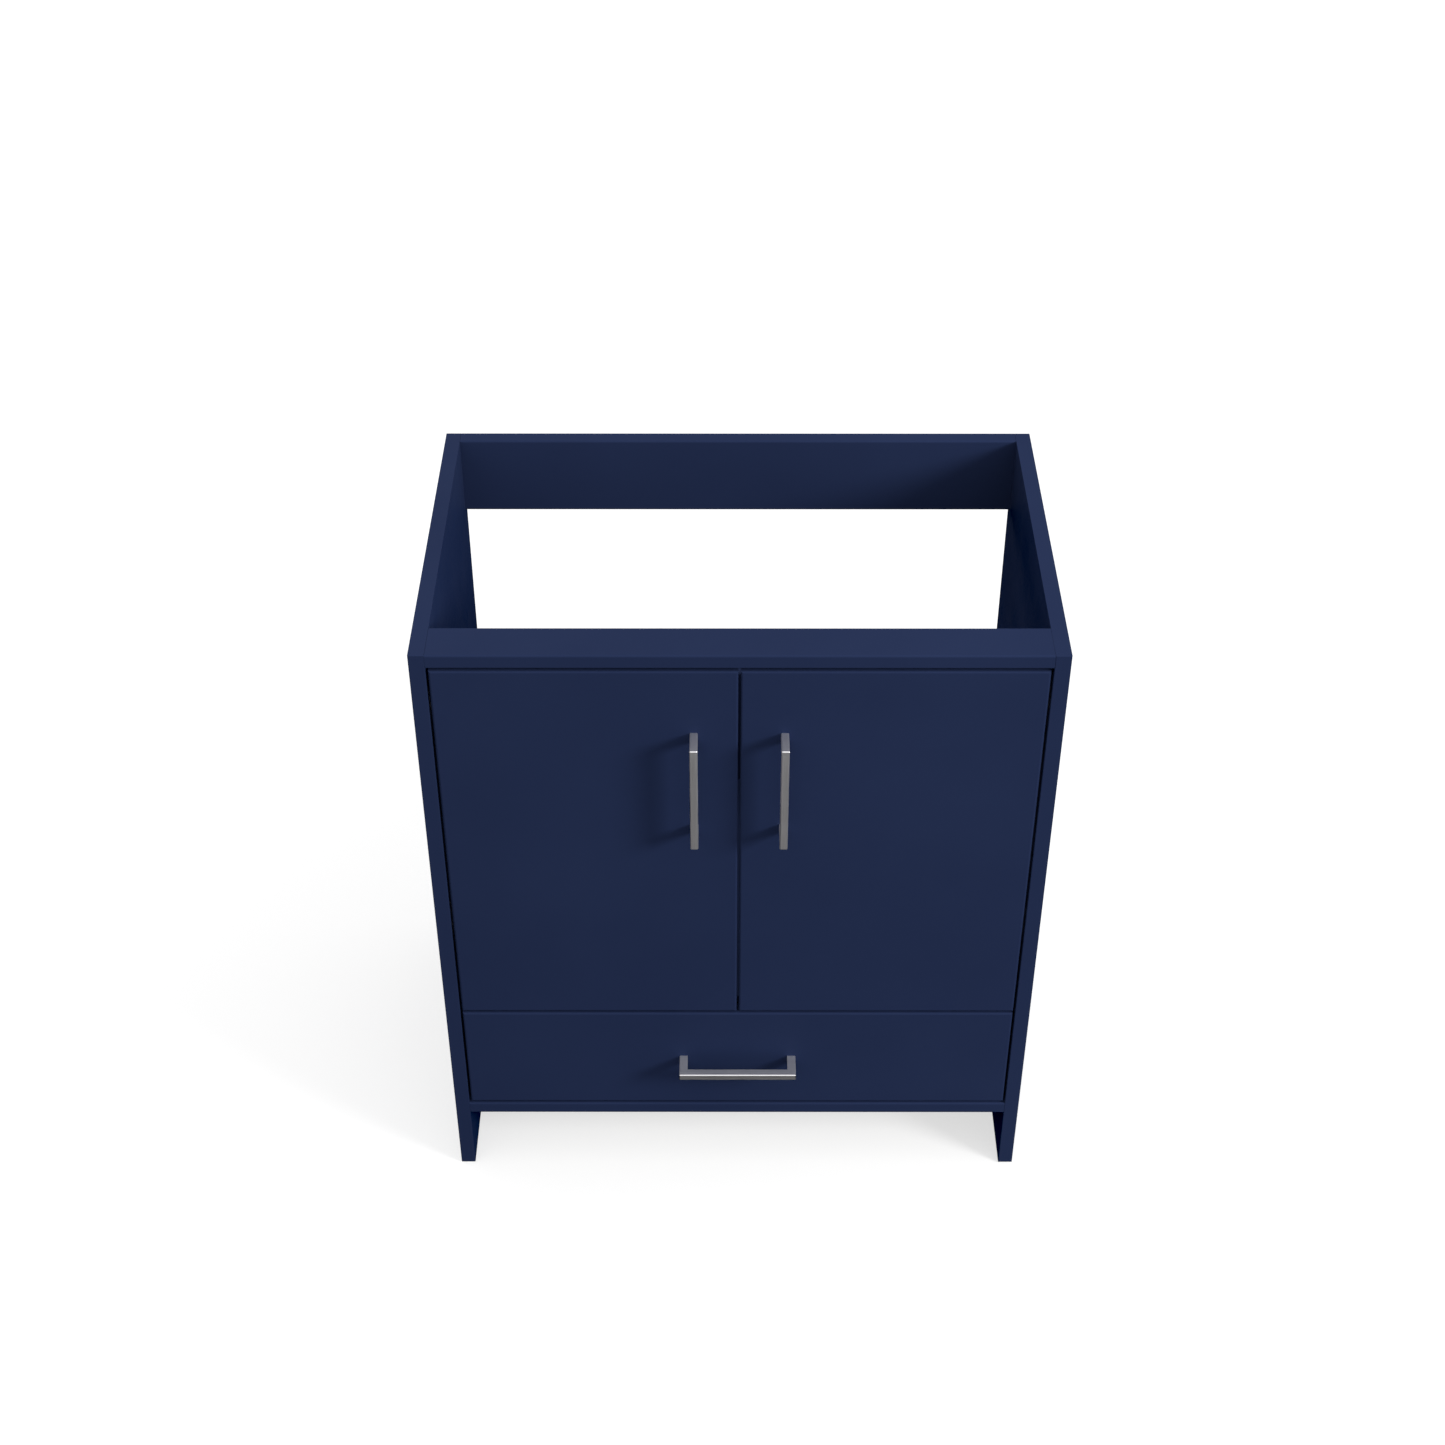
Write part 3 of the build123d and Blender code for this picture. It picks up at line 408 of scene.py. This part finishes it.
def make_plywood(name, along, across):
    """Plywood whose face grain runs along one axis and whose plies lie across another."""
    finish, tree, shader = new_finish(name)
    scale = [260.0] * 3
    scale[along] = 7.0
    fibre = noise(tree, object_place(tree, scale), 1.0, detail=6, roughness=0.65, distortion=0.6)
    figure_scale = [22.0] * 3
    figure_scale[along] = 2.2
    figure = noise(tree, object_place(tree, figure_scale), 1.0, detail=3, distortion=1.8)
    share = add(tree, "ShaderNodeMath", {0: remap(tree, fibre, 0, 0.55, 0.3, 0.7),
                                         1: remap(tree, figure, 0, 0.45, 0.3, 0.7)}, operation="ADD")
    face = mix_colours(tree, share.outputs[0], BIRCH_LIGHT, BIRCH_DARK)

    parted = add(tree, "ShaderNodeSeparateXYZ", {"Vector": object_place(tree)})
    layer = add(tree, "ShaderNodeMath", {0: parted.outputs[across], 1: math.pi / PLY}, operation="MULTIPLY")
    wave = add(tree, "ShaderNodeMath", {0: layer.outputs[0]}, operation="SINE")
    stripes = mix_colours(tree, remap(tree, wave.outputs[0], 0, 1, -0.25, 0.25),
                          STRIPE_LIGHT, STRIPE_DARK)
    surface = add(tree, "ShaderNodeNewGeometry")
    normal = add(tree, "ShaderNodeSeparateXYZ", {"Vector": surface.outputs["True Normal"]})
    steep = add(tree, "ShaderNodeMath", {0: normal.outputs["Z"]}, operation="ABSOLUTE")
    is_edge = add(tree, "ShaderNodeMath", {0: steep.outputs[0], 1: CUT_EDGE_TILT}, operation="GREATER_THAN")
    tree.links.new(mix_colours(tree, is_edge.outputs[0], face, stripes), shader.inputs["Base Color"])
    tree.links.new(remap(tree, fibre, 0.42, 0.62), shader.inputs["Roughness"])
    add_bump(tree, shader, fibre, FIBRE_DEPTH, 0.6)
    return finish


def make_plain_wood(name, light, dark, along):
    """Solid wood or a thin sheet, with grain along one axis."""
    finish, tree, shader = new_finish(name)
    scale = [320.0] * 3
    scale[along] = 12.0
    fibre = noise(tree, object_place(tree, scale), 1.0, detail=6, roughness=0.6, distortion=0.5)
    broad = [18.0] * 3
    broad[along] = 2.0
    figure = noise(tree, object_place(tree, broad), 1.0, detail=3, distortion=1.5)
    share = add(tree, "ShaderNodeMath", {0: remap(tree, fibre, 0, 0.6, 0.3, 0.7),
                                         1: remap(tree, figure, 0, 0.4, 0.3, 0.7)}, operation="ADD")
    tree.links.new(mix_colours(tree, share.outputs[0], light, dark), shader.inputs["Base Color"])
    tree.links.new(remap(tree, fibre, 0.45, 0.65), shader.inputs["Roughness"])
    add_bump(tree, shader, fibre, FIBRE_DEPTH, 0.6)
    return finish


ply_walls = make_plywood("birch_ply_walls", along=1, across=0)
ply_ends = make_plywood("birch_ply_ends", along=0, across=1)
ply_bottom = make_plain_wood("birch_bottom", BIRCH_LIGHT, BIRCH_DARK, 0)
beech = make_plain_wood("beech_dowel", (0.68, 0.47, 0.29, 1), (0.50, 0.32, 0.18, 1), 0)
print("woods:", [wood.name for wood in (ply_walls, ply_ends, ply_bottom, beech)])

# %% [markdown]
# ## Nylon and rubber
#
# The floor glides are moulded nylon and the bumpers are clear soft rubber. Both let a little light
# in below the surface, which subsurface scattering imitates.

# %% Nylon and rubber
SCATTER_RADIUS = (2.0 * MM, 1.8 * MM, 1.5 * MM)
MOTTLE_DARKEN = 0.82


def make_soft_plastic(name, colour, roughness, scatter):
    """Moulded plastic or rubber that glows slightly where light enters it."""
    finish, tree, shader = new_finish(name)
    place = object_place(tree)
    mottle = noise(tree, place, 240, detail=3)
    darker = (*[channel * MOTTLE_DARKEN for channel in colour[:3]], 1)
    tree.links.new(mix_colours(tree, mottle, darker, colour), shader.inputs["Base Color"])
    tree.links.new(remap(tree, mottle, *roughness), shader.inputs["Roughness"])
    shader.inputs["Subsurface Weight"].default_value = scatter
    shader.inputs["Subsurface Radius"].default_value = SCATTER_RADIUS
    add_bump(tree, shader, noise(tree, place, 1500, detail=2), 0.02 * MM, 0.4)
    return finish


nylon = make_soft_plastic("nylon", (0.78, 0.77, 0.72, 1), (0.38, 0.50), 0.2)
clear_rubber = make_soft_plastic("clear_rubber", (0.66, 0.66, 0.63, 1), (0.30, 0.45), 0.5)
print("soft:", nylon.name, clear_rubber.name)

# %% [markdown]
# ## Give the finishes out
#
# Each node's record names the kind of finish it takes. Two kinds need a direction: the pulls' nickel
# and the plywood, so those nodes are named one by one.

# %% Assign finishes
FINISH_OF_SLOT = {
    "navy_paint": navy_paint,
    "birch": ply_walls,
    "beech_dowel": beech,
    "satin_nickel": upright_nickel,
    "nickel_plate": hinge_nickel,
    "zinc_plate": slide_zinc,
    "zinc": cast_zinc,
    "nylon": nylon,
    "clear_rubber": clear_rubber,
}
FINISH_OF_NODE = {
    "drawer_pull": level_nickel,
    "drawer_sub_front": ply_ends,
    "drawer_back": ply_ends,
    "drawer_bottom": ply_bottom,
}


def dress(thing, finish):
    """Give an object one finish all over."""
    thing.data.materials.clear()
    thing.data.materials.append(finish)


for entry in frame["record"]["subparts"]:
    name = entry["node"]
    dress(nodes[name], FINISH_OF_NODE.get(name, FINISH_OF_SLOT[entry["material_slot"]]))
print("dressed", len(nodes), "nodes")

# %% [markdown]
# ## Reading the solids
#
# The small pieces that repeat go exactly where the solids already have them. A loaded solid's mesh
# is loose triangles, so a copy is welded first. Then the faces fall into separate islands, one for
# each screw. From an island's corners come its axis, its head and its sizes, with nothing measured
# by hand.

# %% Split a node into islands
WELD = 0.001 * MM


def islands(name):
    """Lists of corner points, one list for each separate solid in a node."""
    mesh = bmesh.new()
    mesh.from_mesh(nodes[name].data)
    bmesh.ops.remove_doubles(mesh, verts=mesh.verts, dist=WELD)
    left = set(mesh.verts)
    groups = []
    while left:
        front = [left.pop()]
        group = []
        while front:
            corner = front.pop()
            group.append(corner.co.copy())
            for edge in corner.link_edges:
                other = edge.other_vert(corner)
                if other in left:
                    left.discard(other)
                    front.append(other)
        groups.append(group)
    mesh.free()
    return sorted(groups, key=lambda group: tuple(round(c, 4) for c in sum(group, Vector()) / len(group)))


def measure_screw(points):
    """A screw's seat under its head, its direction, and its head and shank sizes."""
    low = Vector([min(point[i] for point in points) for i in range(3)])
    high = Vector([max(point[i] for point in points) for i in range(3)])
    size = high - low
    axis = max(range(3), key=lambda i: size[i])
    middle = (low + high) / 2
    outward = Vector([0, 0, 0])

    def radius(point):
        offset = point - middle
        offset[axis] = 0
        return offset.length

    ends = {}
    for sign, end in ((-1, low[axis]), (1, high[axis])):
        ends[sign] = max(radius(point) for point in points if abs(point[axis] - end) < WELD)
    head_sign = max(ends, key=ends.get)
    outward[axis] = head_sign
    head_radius, shank_radius = ends[head_sign], ends[-head_sign]
    wide = [point[axis] for point in points if radius(point) > (head_radius + shank_radius) / 2]
    head_height = max(wide) - min(wide)
    seat = middle.copy()
    seat[axis] = min(wide) if head_sign > 0 else max(wide)
    shank_length = size[axis] - head_height
    return seat, outward, (head_radius, head_height, shank_radius, shank_length)


seat, outward, sizes = measure_screw(islands("hinge_plate_screws")[0])
print("one plate screw:", [round(size / MM, 2) for size in sizes], "mm")

# %% [markdown]
# ## Turned shapes
#
# A turned shape is a profile swept round an axis. The Screw modifier does this to a curve; a bmesh
# loop does the same and gives full control of the ends, where a ring shrinks to a single corner so
# that the mesh stays closed.

# %% Turned shapes
TURNS = 24


def turned(profile, segments=TURNS):
    """Closed mesh from (radius, height) points, first and last on the axis."""
    mesh = bmesh.new()
    rings = []
    for radius, height in profile:
        if radius == 0:
            rings.append([mesh.verts.new((0, 0, height))])
            continue
        angles = [2 * math.pi * step / segments for step in range(segments)]
        rings.append([mesh.verts.new((radius * math.cos(a), radius * math.sin(a), height)) for a in angles])
    for lower, upper in zip(rings, rings[1:]):
        for step in range(segments):
            after = (step + 1) % segments
            corners = [lower[step % len(lower)], lower[after % len(lower)],
                       upper[after % len(upper)], upper[step % len(upper)]]
            mesh.faces.new(list(dict.fromkeys(corners)))
    bmesh.ops.recalc_face_normals(mesh, faces=mesh.faces)
    return mesh


def as_object(mesh, name):
    """Turn a finished bmesh into an object at the origin."""
    data = bpy.data.meshes.new(name)
    mesh.to_mesh(data)
    mesh.free()
    thing = bpy.data.objects.new(name, data)
    bpy.context.scene.collection.objects.link(thing)
    return thing


# %% [markdown]
# ## One good screw
#
# A real pan-head screw has a low dome, a cross recess that narrows as it goes in, and a thread. The
# body is a profile turned about its axis, because everything but the recess is round. The thread is
# made as rings, which looks right at this size and keeps the mesh closed. The recess is cut out with
# a Boolean modifier and a tapered cross.

# %% Screw
DOME_STEPS = 5
HEAD_RIM = 0.35              # share of the head's height that is upright
RECESS_DEPTH = 0.62          # share of the head's height
RECESS_REACH = 0.52          # share of the head's radius
RECESS_HALF_WIDTH = 0.13
RECESS_TAPER = 0.55
CUTTER_RISE = 1.2            # how far the cutter stands over the head, in head heights
TIP_SHARE = 0.5              # share of the root's radius at the very tip
THREAD_PITCH = 1.1 * MM
THREAD_ROOT = 0.76           # share of the shank's radius
TIP_LENGTH = 2.4 * MM


def screw_profile(head_radius, head_height, shank_radius, shank_length):
    """Tip, thread rings, underside, rim and dome, from the tip up."""
    root = shank_radius * THREAD_ROOT
    points = [(0, -shank_length), (root * TIP_SHARE, -shank_length)]
    height = TIP_LENGTH - shank_length
    while height < -THREAD_PITCH * 1.5:
        points += [(root, height), (shank_radius, height + THREAD_PITCH / 2)]
        height += THREAD_PITCH
    points += [(root, height), (shank_radius, -THREAD_PITCH / 2), (shank_radius, 0), (head_radius, 0)]
    rim = head_height * HEAD_RIM
    for step in range(DOME_STEPS):
        angle = math.pi / 2 * step / DOME_STEPS
        points.append((head_radius * math.cos(angle), rim + (head_height - rim) * math.sin(angle)))
    return points + [(0, head_height)]


def cross_cutter(radius, height):
    """Tapered cross that cuts the recess."""
    reach, half = radius * RECESS_REACH, radius * RECESS_HALF_WIDTH
    outline = []
    for quarter in range(4):
        turn = Matrix.Rotation(math.pi / 2 * quarter, 3, "Z")
        outline += [turn @ Vector(p) for p in ((half, half, 0), (half, reach, 0), (-half, reach, 0))]
    mesh = bmesh.new()
    top = [mesh.verts.new((p.x, p.y, height * CUTTER_RISE)) for p in outline]
    deep = height * (1 - RECESS_DEPTH)
    bottom = [mesh.verts.new((p.x * RECESS_TAPER, p.y * RECESS_TAPER, deep)) for p in outline]
    mesh.faces.new(top)
    mesh.faces.new(bottom)
    for step in range(len(outline)):
        after = (step + 1) % len(outline)
        mesh.faces.new((top[step], top[after], bottom[after], bottom[step]))
    bmesh.ops.recalc_face_normals(mesh, faces=mesh.faces)
    return as_object(mesh, "cross_cutter")


def baked(thing, name):
    """Plain mesh of an object with its modifiers worked out."""
    bpy.context.view_layer.update()
    ready = thing.evaluated_get(bpy.context.evaluated_depsgraph_get())
    data = bpy.data.meshes.new_from_object(ready)
    data.name = name
    return data


def make_screw_model(sizes):
    """One screw, standing on its seat with its head up; it is only used as a pattern."""
    screw = as_object(turned(screw_profile(*sizes)), "screw_pattern")
    cutter = cross_cutter(sizes[0], sizes[1])
    cut = screw.modifiers.new("recess", "BOOLEAN")
    cut.operation = "DIFFERENCE"
    cut.solver = "EXACT"
    cut.object = cutter
    data = baked(screw, "screw_pattern")
    screw.modifiers.clear()
    screw.data = data
    bpy.data.objects.remove(cutter)
    return screw


pattern = make_screw_model(sizes)
print("screw pattern:", len(pattern.data.polygons), "faces")
bpy.data.objects.remove(pattern)

# %% [markdown]
# ## Scatter with Geometry Nodes
#
# Every screw of a kind is the same pattern put on another seat, which is what Instance on Points
# does. The points carry the direction that each head faces. Each screw also gets a turn of its own,
# because nobody lines the recesses up; the seed keeps that the same every time. Realize Instances
# makes them real faces, since an export drops instances.

# %% Tree that puts a pattern on points
def new_tree(name, inputs):
    """Empty geometry tree with a mesh in, a mesh out and named inputs after it."""
    tree = bpy.data.node_groups.new(name, "GeometryNodeTree")
    tree.interface.new_socket("Geometry", in_out="INPUT", socket_type="NodeSocketGeometry")
    for label, kind in inputs:
        tree.interface.new_socket(label, in_out="INPUT", socket_type=f"NodeSocket{kind}")
    tree.interface.new_socket("Geometry", in_out="OUTPUT", socket_type="NodeSocketGeometry")
    return tree, tree.nodes.new("NodeGroupInput").outputs


def finish_tree(tree, geometry, material):
    """Real faces with a material: the end of every tree."""
    real = add(tree, "GeometryNodeRealizeInstances", {"Geometry": geometry})
    coated = add(tree, "GeometryNodeSetMaterial", {"Geometry": real.outputs[0], "Material": material})
    add(tree, "NodeGroupOutput", {"Geometry": coated.outputs[0]})


def make_scatter_tree():
    """Pattern on every point, head along the point's direction, turned by chance."""
    inputs = [("Pattern", "Object"), ("Seed", "Int"), ("Finish", "Material")]
    tree, given = new_tree("scatter_on_seats", inputs)
    pattern = add(tree, "GeometryNodeObjectInfo", {"Object": given["Pattern"]})
    facing = add(tree, "GeometryNodeInputNamedAttribute", {"Name": "facing"}, data_type="FLOAT_VECTOR")
    stand = add(tree, "FunctionNodeAlignRotationToVector", {"Vector": facing.outputs["Attribute"]}, axis="Z")
    chance = add(tree, "FunctionNodeRandomValue", {"Seed": given["Seed"]}, data_type="FLOAT")
    chance.inputs["Max"].default_value = 1.0
    angle = add(tree, "ShaderNodeMath", {0: chance.outputs["Value"], 1: 2 * math.pi}, operation="MULTIPLY")
    spin = add(tree, "FunctionNodeAxisAngleToRotation", {"Angle": angle.outputs[0]})
    turn = add(tree, "FunctionNodeRotateRotation",
               {"Rotation": stand.outputs[0], "Rotate By": spin.outputs[0]}, rotation_space="LOCAL")
    placed = add(tree, "GeometryNodeInstanceOnPoints", {"Points": given["Geometry"],
                                                        "Instance": pattern.outputs["Geometry"],
                                                        "Rotation": turn.outputs[0]})
    finish_tree(tree, placed.outputs[0], given["Finish"])
    return tree


def run_tree(name, base, tree, values):
    """Run a tree on a mesh and keep the result as a plain mesh object."""
    thing = bpy.data.objects.new(name, base)
    bpy.context.scene.collection.objects.link(thing)
    modifier = thing.modifiers.new(name, "NODES")
    modifier.node_group = tree
    for item in tree.interface.items_tree:
        if item.in_out == "INPUT" and item.name in values:
            modifier[item.identifier] = values[item.name]
    data = baked(thing, name)
    thing.modifiers.clear()
    thing.data = data
    return thing


scatter = make_scatter_tree()
print("tree:", scatter.name, "with", len(scatter.nodes), "nodes")

# %% [markdown]
# ## Screws on their seats
#
# The plain screws of a node are replaced by detailed ones on the same seats, with the same sizes.
# Each new piece rides on the body of the node that it stands for, so it moves with the door or the
# slide that it holds.

# %% Screws on their seats
SMOOTH_ANGLE = math.radians(35)
bodies = frame["record"]["behaviour"]["bodies"]
body_of_node = {node: body for body, members in bodies.items() for node in members}
slot_of_node = {entry["node"]: entry["material_slot"] for entry in frame["record"]["subparts"]}


def shade_smooth_by_angle(thing):
    """Smooth shading, except across sharp edges."""
    thing.data.shade_smooth()
    thing.data.set_sharp_from_angle(angle=SMOOTH_ANGLE)


def make_screws(node, seed):
    """Detailed screws in the place of a node's plain ones."""
    places = [measure_screw(points) for points in islands(node)]
    base = bpy.data.meshes.new(f"{node}_seats")
    base.from_pydata([seat for seat, _, _ in places], [], [])
    facing = base.attributes.new("facing", "FLOAT_VECTOR", "POINT")
    for index, (_, outward, _) in enumerate(places):
        facing.data[index].vector = outward
    pattern = make_screw_model(places[0][2])
    finish = FINISH_OF_SLOT[slot_of_node[node]]
    piece = run_tree(f"{node}_turned", base, scatter, {"Pattern": pattern, "Seed": seed, "Finish": finish})
    bpy.data.objects.remove(pattern)
    shade_smooth_by_angle(piece)
    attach(piece, body_of_node[node])
    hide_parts(node)
    print(node, len(places), "screws", len(piece.data.polygons), "faces")


for seed, node in enumerate(sorted(name for name in nodes if name.endswith("_screws"))):
    make_screws(node, seed)

# %% [markdown]
# ## Balls and their cages
#
# Each drawer slide has three members that run on four rows of steel balls: two rows between the
# outer and middle members, two between the middle and inner ones. A stamped strip, the cage, keeps
# the balls apart. Both follow a rule, a row with a pitch, so Geometry Nodes make them: a line of
# points, a ball on each, and a strip with a hole cut at each. The rows lie in the gaps between the
# members, so their places come from the members' boxes. The outer rows fill the rear half of the
# middle member and the inner rows its front half: there they stay under cover as the drawer opens.

# %% Where the rows of balls lie
SLIDE_SHEET = 1.2 * MM
BALL_RADIUS = 1.5 * MM
BALL_PITCH = 8.0 * MM
BALL_COUNT = 22
ROW_INSET = 12 * MM          # first ball from the middle member's end


def ball_rows():
    """Start of each row of balls, with the direction along Y in which the row runs."""
    rows = []
    for side in ("left", "right"):
        outer, middle, inner = [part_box(f"{side}_slide_{member}") for member in ("outer", "middle", "inner")]
        far, near = (1, 0) if side == "right" else (0, 1)
        outer_x = (outer[near].x + middle[far].x) / 2
        inner_x = (middle[near].x + inner[far].x) / 2
        for end in (0, 1):
            outward = 1 if end else -1
            outer_z = (outer[end].z - outward * SLIDE_SHEET + middle[end].z) / 2
            inner_z = (middle[end].z - outward * SLIDE_SHEET + inner[end].z) / 2
            rows.append(((outer_x, middle[1].y - ROW_INSET, outer_z), -1))
            rows.append(((inner_x, middle[0].y + ROW_INSET, inner_z), 1))
    return rows


rows = ball_rows()
print(len(rows), "rows of", BALL_COUNT, "balls")

# %% [markdown]
# ## One tree for balls, one for cages
#
# Array modifiers could repeat a ball too, but a tree keeps the count and the pitch as named inputs
# that both pieces share. The ball is a small icosphere of 80 faces, since there are many of them.
# The cage is one thin block with all its holes cut in a single Boolean.

# %% Trees for balls and cages
STRIP_THICKNESS = 0.5 * MM
STRIP_WIDTH = 4.2 * MM
HOLE_ROOM = 0.1 * MM
HOLE_SIDES = 16
BALL_LEVEL = 2               # 80 faces
bearing_steel = make_plated_steel("bearing_steel", (0.72, 0.73, 0.75, 1), (0.62, 0.63, 0.65, 1),
                                  (0.08, 0.16), 400)


def row_points(tree, given):
    """Points along Y at the given pitch."""
    step = add(tree, "ShaderNodeCombineXYZ", {"Y": given["Pitch"]})
    line = add(tree, "GeometryNodeMeshLine", {"Count": given["Count"], "Offset": step.outputs[0]})
    return line.outputs[0]


def make_ball_tree():
    """Ball on every point of a row."""
    tree, given = new_tree("ball_row", [("Count", "Int"), ("Pitch", "Float"), ("Radius", "Float"),
                                        ("Start", "Vector"), ("Finish", "Material")])
    ball = add(tree, "GeometryNodeMeshIcoSphere", {"Radius": given["Radius"], "Subdivisions": BALL_LEVEL})
    placed = add(tree, "GeometryNodeInstanceOnPoints", {"Points": row_points(tree, given),
                                                        "Instance": ball.outputs[0]})
    moved = add(tree, "GeometryNodeTransform", {"Geometry": placed.outputs[0], "Translation": given["Start"]})
    finish_tree(tree, moved.outputs[0], given["Finish"])
    return tree


def make_cage_tree():
    """Strip along a row, with a round hole for every ball."""
    tree, given = new_tree("ball_cage", [("Count", "Int"), ("Pitch", "Float"), ("Radius", "Float"),
                                         ("Start", "Vector"), ("Finish", "Material")])
    length = add(tree, "ShaderNodeMath", {0: given["Count"], 1: given["Pitch"]}, operation="MULTIPLY")
    reach = add(tree, "ShaderNodeMath", {0: length.outputs[0]}, operation="ABSOLUTE")
    size = add(tree, "ShaderNodeCombineXYZ", {"X": STRIP_WIDTH, "Y": reach.outputs[0], "Z": STRIP_THICKNESS})
    strip = add(tree, "GeometryNodeMeshCube", {"Size": size.outputs[0]})
    back = add(tree, "ShaderNodeMath", {0: length.outputs[0], 1: given["Pitch"]}, operation="SUBTRACT")
    half = add(tree, "ShaderNodeMath", {0: back.outputs[0], 1: 0.5}, operation="MULTIPLY")
    centre = add(tree, "ShaderNodeCombineXYZ", {"Y": half.outputs[0]})
    laid = add(tree, "GeometryNodeTransform",
               {"Geometry": strip.outputs[0], "Translation": centre.outputs[0]})
    punch = add(tree, "GeometryNodeMeshCylinder", {"Vertices": HOLE_SIDES, "Radius": given["Radius"],
                                                   "Depth": 4 * STRIP_THICKNESS})
    punches = add(tree, "GeometryNodeInstanceOnPoints", {"Points": row_points(tree, given),
                                                         "Instance": punch.outputs[0]})
    real = add(tree, "GeometryNodeRealizeInstances", {"Geometry": punches.outputs[0]})
    cut = add(tree, "GeometryNodeMeshBoolean", {"Mesh 1": laid.outputs[0]}, operation="DIFFERENCE",
              solver="EXACT")
    tree.links.new(real.outputs[0], cut.inputs["Mesh 2"])
    moved = add(tree, "GeometryNodeTransform", {"Geometry": cut.outputs[0], "Translation": given["Start"]})
    finish_tree(tree, moved.outputs[0], given["Finish"])
    return tree


# %% [markdown]
# ## Run the trees
#
# Each tree runs once for each row, with the row's start and direction as inputs. The results are
# joined into one mesh of balls and one of cages, and both ride with the slides' middle members.

# %% Run them along every row
def joined(name, things):
    """One object from several."""
    mesh = bmesh.new()
    for thing in things:
        mesh.from_mesh(thing.data)
    whole = as_object(mesh, name)
    whole.data.materials.append(things[0].data.materials[0])
    for thing in things:
        bpy.data.objects.remove(thing)
    return whole


def make_rows(name, tree, radius, finish):
    """Run a tree on every row and join the rows into one piece of the middle members."""
    things = []
    for start, direction in rows:
        values = {"Count": BALL_COUNT, "Pitch": direction * BALL_PITCH, "Radius": radius, "Start": start,
                  "Finish": finish}
        things.append(run_tree(name, bpy.data.meshes.new(name), tree, values))
    piece = joined(name, things)
    shade_smooth_by_angle(piece)
    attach(piece, "slide_middles")
    print(name, len(piece.data.polygons), "faces")


make_rows("slide_balls", make_ball_tree(), BALL_RADIUS, bearing_steel)
make_rows("slide_ball_cages", make_cage_tree(), BALL_RADIUS + HOLE_ROOM, slide_zinc)
